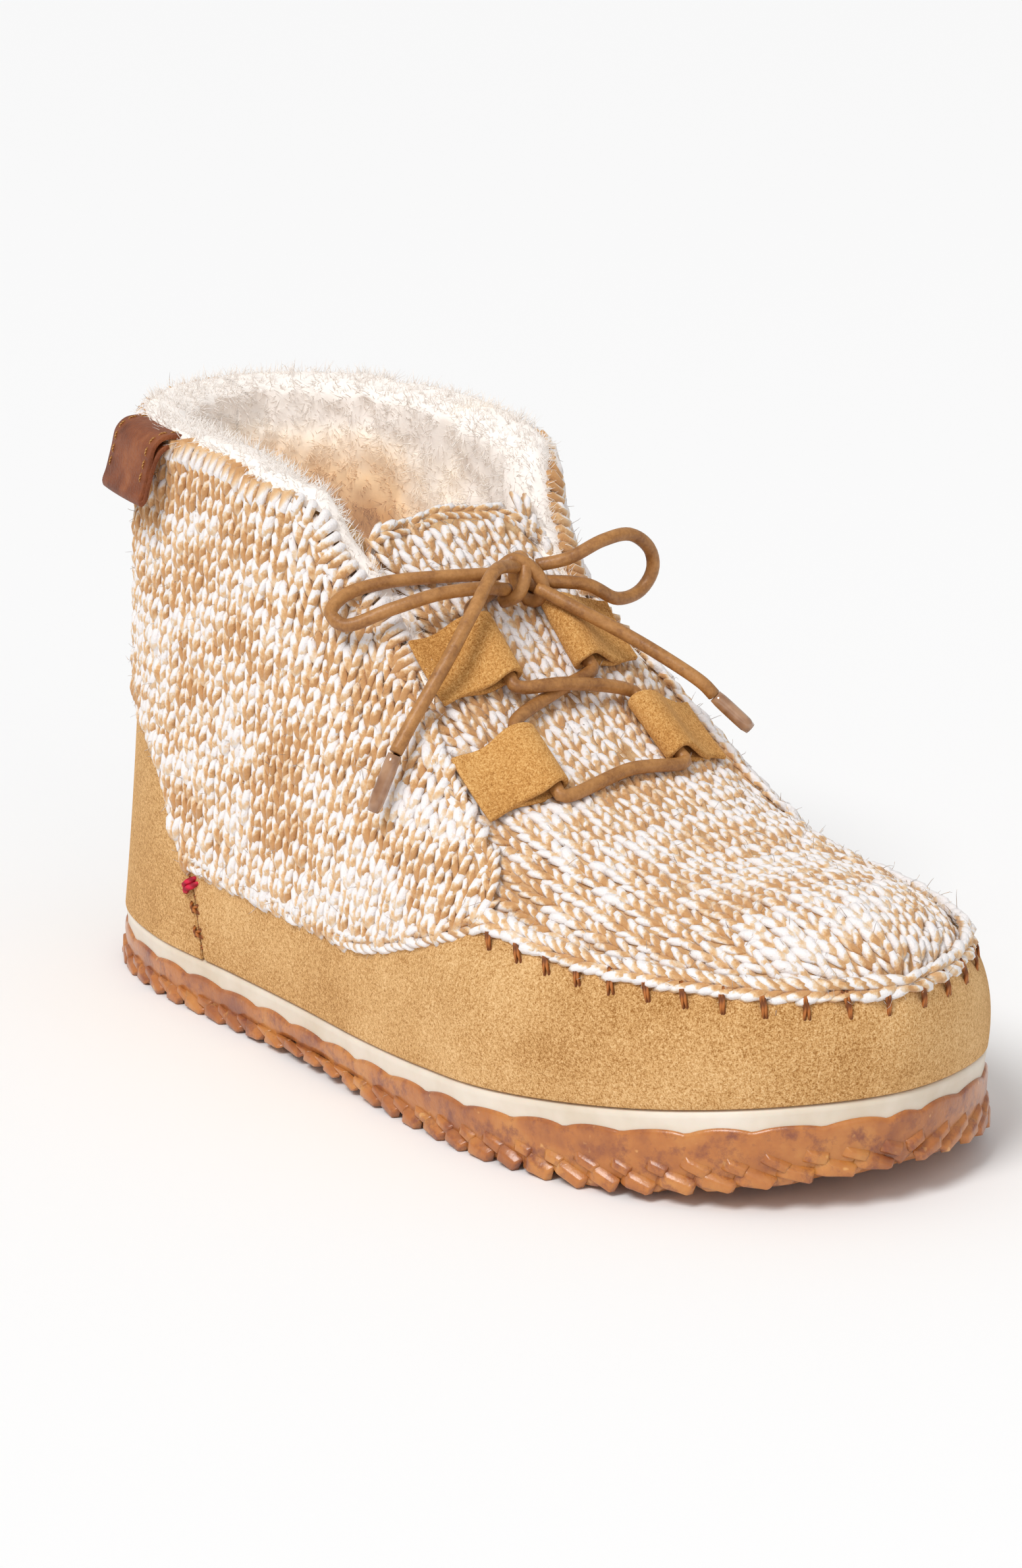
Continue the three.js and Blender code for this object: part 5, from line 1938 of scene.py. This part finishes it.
def place_insole_pile(across, up):
    """Pile on the insole, from its middle line out to its rim."""
    def half(side, share, mask):
        row = END_ROW * share
        edge = rim(side, row, INSOLE["inset"])
        middle = (rim(LATERAL, row, INSOLE["inset"]) + rim(MEDIAL, row, INSOLE["inset"])) / 2
        plan = middle + (edge - middle) * up[mask][:, None]
        pile = INSOLE["pile"] + INSOLE["lumps"] * lumps(row * 23, side * up[mask])
        height = seat_top(plan[:, 0]) + GAP + INSOLE["thick"] + pile * np.sqrt(1 - up[mask] ** 4)
        return np.column_stack([plan, height])

    return both_sides(across, half)


print("pile", PILE, "mm deep on the wall")

# %% Fleece skins
COLLAR_LINE = {"x": [-60, -30, -10], "z": [125, 116, 98]}
# Painted shade in part: the tan reaches up soonest at the heel and stays lighter near the insole.
TAN_AND_SHADE_DEPTH = {"x": [-84, -50], "reach": [22, 120]}
DEEPEST = {"z": [20, 70], "depth": [0.45, 1.0]}


def set_depth(obj):
    """Depth of each point under the collar, 0 at its edge, 1 where the pile is tan with painted shade."""
    points = read_vertices(obj) / MM
    x, z = points[:, 0], points[:, 2]
    edge = np.interp(x, COLLAR_LINE["x"], COLLAR_LINE["z"])
    reach = np.interp(x, TAN_AND_SHADE_DEPTH["x"], TAN_AND_SHADE_DEPTH["reach"])
    deepest = np.interp(z, DEEPEST["z"], DEEPEST["depth"])
    set_value(obj, "depth", np.clip((edge - z) / reach, 0, deepest))


def add_fleece(name, columns, lines, place):
    obj = add_grid(name, columns, lines, place)
    set_depth(obj)
    return finish_piece(obj, shearling, "fleece")


fleece = add_fleece("fleece_skin", 260, 90, place_fleece)
tongue_fleece = add_fleece("fleece_tongue", 60, 24, place_tongue_fleece)
insole_pile = add_fleece("fleece_insole", 200, 20, place_insole_pile)
print("fleece skin", [triangles(obj) for obj in (fleece, tongue_fleece, insole_pile)])

# %% Fleece hairs
HAIRS = 26000
INSOLE_HAIRS = 3200
HAIR_RADIUS = np.array([0.11, 0.09, 0.02])
HAIR_LENGTH = (1.4, 3.4)
HAIR_LEAN = {"normal": 0.7, "clump": 1.7, "chance": 0.4, "curl": 0.6}
SHAFT_MIDDLE = np.array([-70, -2, 100.0])


def hair_roots(place, count, rng):
    """Random places on a skin by area, thicker towards its upper edge, with the skin's direction."""
    across = rng.random(count * 4)
    up = rng.random(count * 4) ** 0.6
    small = 0.002
    here = place(across, up)
    by_across = place(np.clip(across + small, 0, 1), up) - place(np.clip(across - small, 0, 1), up)
    by_up = place(across, np.minimum(up + small, 1)) - place(across, np.maximum(up - small, 0))
    normal = np.cross(by_across, by_up)
    area = np.linalg.norm(normal, axis=1)
    chosen = rng.choice(len(area), count, replace=False, p=area / area.sum())
    turned = np.sign(((SHAFT_MIDDLE - here) * normal).sum())
    return across[chosen], up[chosen], here[chosen], turned * unit(normal[chosen])


def hair_paths(place, count, rng):
    """Three points for each hair, leaning in clumps and curled a little."""
    across, up, root, normal = hair_roots(place, count, rng)
    clump = np.stack([soft_field(85 + k, across * 110, up * 34) - 0.5 for k in range(3)], -1)
    lean = HAIR_LEAN["normal"] * normal + HAIR_LEAN["clump"] * clump
    lean = unit(lean + rng.normal(0, HAIR_LEAN["chance"], root.shape)) * rng.uniform(*HAIR_LENGTH, (count, 1))
    curl = rng.normal(0, HAIR_LEAN["curl"], root.shape)
    base = root - 0.3 * normal
    return across, np.stack([base, base + 0.55 * lean + 0.4 * curl, base + lean + curl], axis=1)


def add_hairs(name, path, rng):
    radii = HAIR_RADIUS[None, :] * rng.uniform(0.6, 1.2, (len(path), 1))
    obj = strand_mesh(name, path, radii, 3, unit(rng.normal(size=(len(path), 3))))
    set_depth(obj)
    return finish_piece(obj, shearling, "fleece")


hair_rng = np.random.default_rng(83)
hair_across, hair_path = hair_paths(place_fleece, HAIRS, hair_rng)
hairs = [add_hairs("fleece_hairs_lateral", hair_path[hair_across < 0.5], hair_rng),
         add_hairs("fleece_hairs_medial", hair_path[hair_across >= 0.5], hair_rng)]
insole_path = hair_paths(place_insole_pile, INSOLE_HAIRS, hair_rng)[1]
hairs.append(add_hairs("fleece_hairs_insole", insole_path, hair_rng))
print("hairs", [triangles(obj) for obj in hairs])

# %% [markdown]
# ## Lace tabs
# Four straps of suede are folded round the lace and sewn under the quarters' front edges. The fold's profile
# is laid out once: over the lace, round it and back beneath. A grid is bent to that profile, thickened and
# bevelled. A chance skew and curl keeps the four from looking stamped.

# %% Lace tabs
TAB_PROFILE = [(-1.5, 1.9), (2.5, 2.2), (6.5, 3.2), (10.5, 5.2), (13.6, 6.5), (16.2, 6.3), (18.0, 4.6),
               (18.1, 2.3), (16.6, 0.7), (14.0, 0.45), (9.0, 0.5), (3.0, 0.5)]
TAB_LEATHER = 1.3
TAB_DARK = linear(160, 104, 46)
TAB_MID = linear(204, 148, 82)
TAB_LIGHT = linear(232, 184, 118)


def place_tab(name, seed):
    """Function that bends a grid to the fold of one tab."""
    side, origin, fold, across, out = tab_frame(name)
    profile = rounded(TAB_PROFILE, 0.4)
    share = np.linspace(0, 1, len(profile))
    rng = np.random.default_rng(seed)
    skew = rng.uniform(-0.06, 0.06)
    curl = rng.uniform(0.2, 0.7, 2)

    def place(along, round_fold):
        reach = np.interp(round_fold, share, profile[:, 0])
        height = np.interp(round_fold, share, profile[:, 1])
        length = (along - 0.5) * (TAB["long"] + 1.0) * (1 + 0.05 * np.sin(reach * 0.5 + seed))
        end = np.abs(along - 0.5) * 2
        curled = np.where(along > 0.5, curl[0], curl[1]) * end ** 3
        lifted = height + curled * np.clip(1 - reach / 14, 0, 1)
        inward = reach - TAB["reach"] / 2 + skew * length
        return origin + length[:, None] * fold - side * inward[:, None] * across + lifted[:, None] * out

    return place


def add_tab(name, seed):
    obj = add_grid(f"suede_tab_{name}", 26, 60, place_tab(name, seed))
    side, origin, _, across, out = tab_frame(name)
    thicken(obj, TAB_LEATHER, tuple((origin - side * across * 7.5 + out * 3.2) * MM))
    return finish_piece(obj, tab_suede, "suede", f"lace_tab_{name}")


tab_suede = suede_finish("tab_suede", TAB_DARK, TAB_MID, TAB_LIGHT)
tabs = [add_tab(name, 90 + index) for index, name in enumerate(LACE_TABS)]
print("tabs", [triangles(obj) for obj in tabs])

# %% [markdown]
# ## Pull strap
# A strap of smooth brown leather is folded over the collar behind the ankle and hangs outside as a loop. It
# is a grid bent along the fold's profile, thickened and bevelled like the tabs. The leather stays bare, with
# one line of thread near each long edge.

# %% Strap finish
STRAP_DARK = linear(92, 44, 22)
STRAP_MID = linear(132, 70, 36)
STRAP_LIGHT = linear(164, 98, 56)


def leather_finish():
    made, tree, shader = new_material("strap_leather", {"Roughness": 0.55, "Specular IOR Level": 0.4})
    place = object_place(tree)
    worn = noise(tree, place, scale=120, detail=4, rough=0.6)
    grain = add_node(tree, "ShaderNodeTexVoronoi", {"Vector": place, "Scale": 1600.0}).outputs["Distance"]
    paint(tree, shader, worn, [(0.3, STRAP_DARK), (0.55, STRAP_MID), (0.78, STRAP_LIGHT)])
    add_bump(tree, shader, grain, 0.0003, 0.5)
    return made


strap_leather = leather_finish()
print("finish", strap_leather.name)

# %% Pull strap
PULL_ROW = 3.0
PULL_WIDE = 24.0
PULL_PROFILE = [(-4.2, -7.0), (-3.6, -2.0), (-1.5, 1.7), (2.0, 2.6), (5.2, 2.2), (7.4, 0.2), (8.6, -4.0),
                (10.0, -9.0), (11.0, -12.0), (10.4, -13.4), (9.2, -12.6), (8.0, -9.0), (6.6, -4.5),
                (5.0, -1.6), (3.2, -0.5)]
STRAP_LEATHER = 1.1
STRAP_BOW = 0.5
STRAP_INSIDE = {"out": 6, "down": -6}
RISE = np.array([0.0, 0.0, 1.0])


def strap_frame():
    """Middle of the strap on the collar, and the directions along the collar and out of it."""
    behind, collar, ahead = top_edge(LATERAL, np.array([PULL_ROW - 0.1, PULL_ROW, PULL_ROW + 0.1]))
    along = ahead - behind
    along[2] = 0
    along = unit(along)
    return collar, along, np.array([along[1], -along[0], 0.0])


def strap_profile(share):
    profile = rounded(PULL_PROFILE, 0.4)
    at = np.linspace(0, 1, len(profile))
    return np.interp(share, at, profile[:, 0]), np.interp(share, at, profile[:, 1])


def place_strap(share_wide, round_fold):
    collar, along, out = strap_frame()
    wide = (share_wide - 0.5) * PULL_WIDE
    reach, height = strap_profile(round_fold)
    reach = reach - STRAP_BOW * (2 * share_wide - 1) ** 2
    return collar + wide[:, None] * along + reach[:, None] * out + height[:, None] * RISE


strap = add_grid("pull_strap", 30, 80, place_strap)
strap_place, _, strap_out = strap_frame()
strap_inside = strap_place + strap_out * STRAP_INSIDE["out"] + RISE * STRAP_INSIDE["down"]
thicken(strap, STRAP_LEATHER, tuple(strap_inside * MM))
finish_piece(strap, strap_leather, "strap_leather", "pull_tab")
print("strap", triangles(strap))

# %% [markdown]
# ## Thread
# Brown thread whips the suede to the knit round the toe, every 8 to 9 mm. Each stitch is a pair of strands
# from a place in the suede up over its edge. Small crossed stitches and one red tack close the seam at the
# heel counter, and a fine gold line runs along the strap. All are short swept strands, and their finish
# draws the twist.

# %% Thread finishes
THREAD_TWIST = 3.0
STITCH_SIDES = 6


def thread_finish(name, dark, light, gloss):
    made, tree, shader = new_material(name, {"Roughness": gloss, "Specular IOR Level": 0.35})
    along, around = along_and_around(tree)
    twist = ripple(tree, plus(tree, around, along, THREAD_TWIST))
    paint(tree, shader, plus(tree, 0.5, twist, 0.35), [(0.2, dark), (0.8, light)])
    add_bump(tree, shader, twist, 0.0002, 0.6)
    return made


brown_thread = thread_finish("brown_thread", linear(112, 60, 24), linear(178, 106, 48), 0.6)
red_thread = thread_finish("red_thread", linear(150, 8, 36), linear(214, 30, 66), 0.6)
gold_thread = thread_finish("gold_thread", linear(150, 96, 40), linear(206, 150, 84), 0.5)
print("threads", brown_thread.name, red_thread.name, gold_thread.name)

# %% Whip stitches
WHIP_LEVELS = np.array([-4.6, -4.1, -2.2, -0.3, 1.2, 2.2])
WHIP_OUT = np.array([0.2, 1.6, 2.4, 2.7, 2.6, 1.4])
WHIP_RADIUS = np.array([0.22, 0.36, 0.42, 0.42, 0.36, 0.26])
WHIP_TILT = np.linspace(-1, 1, len(WHIP_RADIUS))
WHIP_SLANT = {"mean": 0.35, "chance": 0.4}
WHIP_BESIDE = (-0.26, 0.26)


def whip_strands(side):
    rng = np.random.default_rng(101 + side)
    rows = whip_places(side)[0]
    top = np.interp(rows, NET_ROWS, RAND_LIMITS[side][0])
    edge = on_last(side, rows, top, 0.0)
    out = outward(side, rows, top)
    up = up_the_last(side, rows, top)
    along = np.cross(out, up)
    groups = []
    for beside in WHIP_BESIDE:
        slant = WHIP_SLANT["mean"] + rng.normal(0, WHIP_SLANT["chance"], len(rows))
        slant = slant[:, None] * WHIP_TILT[None, :] + beside
        path = edge[:, None, :] + WHIP_LEVELS[None, :, None] * up[:, None, :]
        path = path + WHIP_OUT[None, :, None] * out[:, None, :] + slant[..., None] * along[:, None, :]
        groups.append((path, np.broadcast_to(WHIP_RADIUS, path.shape[:2]), out, np.zeros(len(rows))))
    return join_legs(*groups)


whip_paths, whip_radii, whip_out, _ = join_legs(*(whip_strands(side) for side in SIDES))
whip = strand_mesh("whip_stitches", whip_paths, whip_radii, STITCH_SIDES, whip_out)
finish_piece(whip, brown_thread, "lace")
print("whip stitches", len(whip_paths) // 2, triangles(whip))

# %% Seam stitches
SEAM_CROSSES = [(19.5, 1.9), (25.0, 1.9)]
SEAM_STEPS = np.arange(15.5, 34, 2.3)
SEAM_RADIUS = 0.45
RED_TACK = [((27.6, -4.0), (31.2, 3.6)), ((28.8, -3.4), (32.2, 3.2))]
TACK = {"radius": 0.75, "bulge": 1.6}
STITCH_TAPER = np.array([0.6, 1, 1, 1, 1, 0.6])


def on_seam(side, z, beside):
    """A point on the counter's front seam at a height, moved forward by beside."""
    z = np.asarray(z, float)
    row, level = side_place(side, counter_front(z) + beside, z, RAND_LIFT)
    return on_last(side, row, level, RAND_LIFT), outward(side, row, level)


def seam_stitch(side, first, second, bulge):
    """One short strand between two places beside the seam, arched over the suede."""
    share = np.linspace(0, 1, len(STITCH_TAPER))
    z = first[0] + (second[0] - first[0]) * share
    beside = first[1] + (second[1] - first[1]) * share
    points, out = on_seam(side, z, beside)
    arch = bulge * np.sin(np.pi * share) - 0.3 * (1 - np.sin(np.pi * share))
    return points + out * arch[:, None], out[0]


def add_stitches(name, lines, radius, material):
    paths = np.stack([line[0] for line in lines])
    radii = np.broadcast_to(radius * STITCH_TAPER, paths.shape[:2])
    obj = strand_mesh(name, paths, radii, STITCH_SIDES, np.stack([line[1] for line in lines]))
    return finish_piece(obj, material, "lace")


def seam_lines(side):
    """Two crossed stitches and a line of short ones along the seam."""
    lines = []
    for z, half in SEAM_CROSSES:
        lines.append(seam_stitch(side, (z - 1.6, -half), (z + 1.4, half), 0.8))
        lines.append(seam_stitch(side, (z + 1.2, -half), (z - 1.2, half), 1.1))
    for z in SEAM_STEPS:
        lines.append(seam_stitch(side, (z, 0.5), (z + 1.3, 0.4), 0.0))
    return lines


seam = add_stitches("seam_stitches", seam_lines(LATERAL) + seam_lines(MEDIAL), SEAM_RADIUS, brown_thread)
tack_lines = [seam_stitch(side, *ends, TACK["bulge"]) for side in SIDES for ends in RED_TACK]
tack = add_stitches("red_tack", tack_lines, TACK["radius"], red_thread)
print("seam", triangles(seam), "tack", triangles(tack))

# %% Strap thread
STRAP_STITCH = 2.2
STRAP_SPACING = 1.35 * STRAP_STITCH
STRAP_MARGIN = 2.2
STRAP_OUTSIDE = (0.22, 0.62)
STRAP_THREAD = 0.2
STRAP_ARCH = np.array([-0.1, 0.1, 0.14, 0.14, 0.1, -0.1])


def strap_thread():
    """Short stitches along both long edges of the strap, on its outer face."""
    lines = []
    share = np.linspace(0, 1, 400)
    reach, height = strap_profile(share)
    run = np.concatenate([[0], np.cumsum(np.hypot(np.diff(reach), np.diff(height)))])
    outside = (share > STRAP_OUTSIDE[0]) & (share < STRAP_OUTSIDE[1])
    starts = np.arange(run[outside][0], run[outside][-1] - STRAP_STITCH, STRAP_SPACING)
    _, collar_heading, collar_out = strap_frame()
    for edge in (STRAP_MARGIN / PULL_WIDE, 1 - STRAP_MARGIN / PULL_WIDE):
        for start in starts:
            at = np.interp(np.linspace(start, start + STRAP_STITCH, len(STRAP_ARCH)), run, share)
            points = place_strap(np.full(len(STRAP_ARCH), edge), at)
            out = unit(np.cross(collar_heading, points[-1] - points[0]))
            out = out if out @ (collar_out + 0.6 * RISE) > 0 else -out
            lines.append((points + out * STRAP_ARCH[:, None], out))
    return lines


strap_stitches = add_stitches("strap_stitches", strap_thread(), STRAP_THREAD, gold_thread)
print("strap stitches", triangles(strap_stitches))

# %% [markdown]
# ## Loose fibres
# Slub yarn is hairy: fine fibres stand off every stitch and soften its outline. They start at chance points
# of the knitted pieces and lean away from them, as strands of three sides, so that thousands stay light.

# %% Loose fibres
FIBRES_PER_PIECE = 1040
FIBRE_LENGTH = (1.2, 3.4)
FIBRE_RADIUS = np.array([0.07, 0.06, 0.03])
FIBRE_CHANCE = {"lean": 0.9, "bend": 0.7}


def fibre_paths(rng):
    """Three points for each fibre, from random points of every knitted piece."""
    points = []
    normals = []
    for obj in (*quarters.values(), *vamp, knit_edges):
        chosen = rng.integers(0, len(obj.data.vertices), FIBRES_PER_PIECE)
        points.append(read_vertices(obj)[chosen] / MM)
        normals.append(read_vertices(obj, "normal")[chosen])
    base = np.concatenate(points)
    lean = unit(np.concatenate(normals) + rng.normal(0, FIBRE_CHANCE["lean"], base.shape))
    reach = lean * rng.uniform(*FIBRE_LENGTH, (len(base), 1))
    bend = rng.normal(0, FIBRE_CHANCE["bend"], base.shape)
    return np.stack([base, base + 0.6 * reach + 0.4 * bend, base + 0.8 * reach + bend], axis=1)


def add_fibres():
    rng = np.random.default_rng(131)
    path = fibre_paths(rng)
    ups = unit(rng.normal(size=(len(path), 3)))
    obj = strand_mesh("loose_fibres", path, FIBRE_RADIUS, 3, ups, {"white": rng.uniform(0.2, 1, len(path))})
    return finish_piece(obj, marled_yarn, "knit")


fibres = add_fibres()
print("fibres", triangles(fibres))
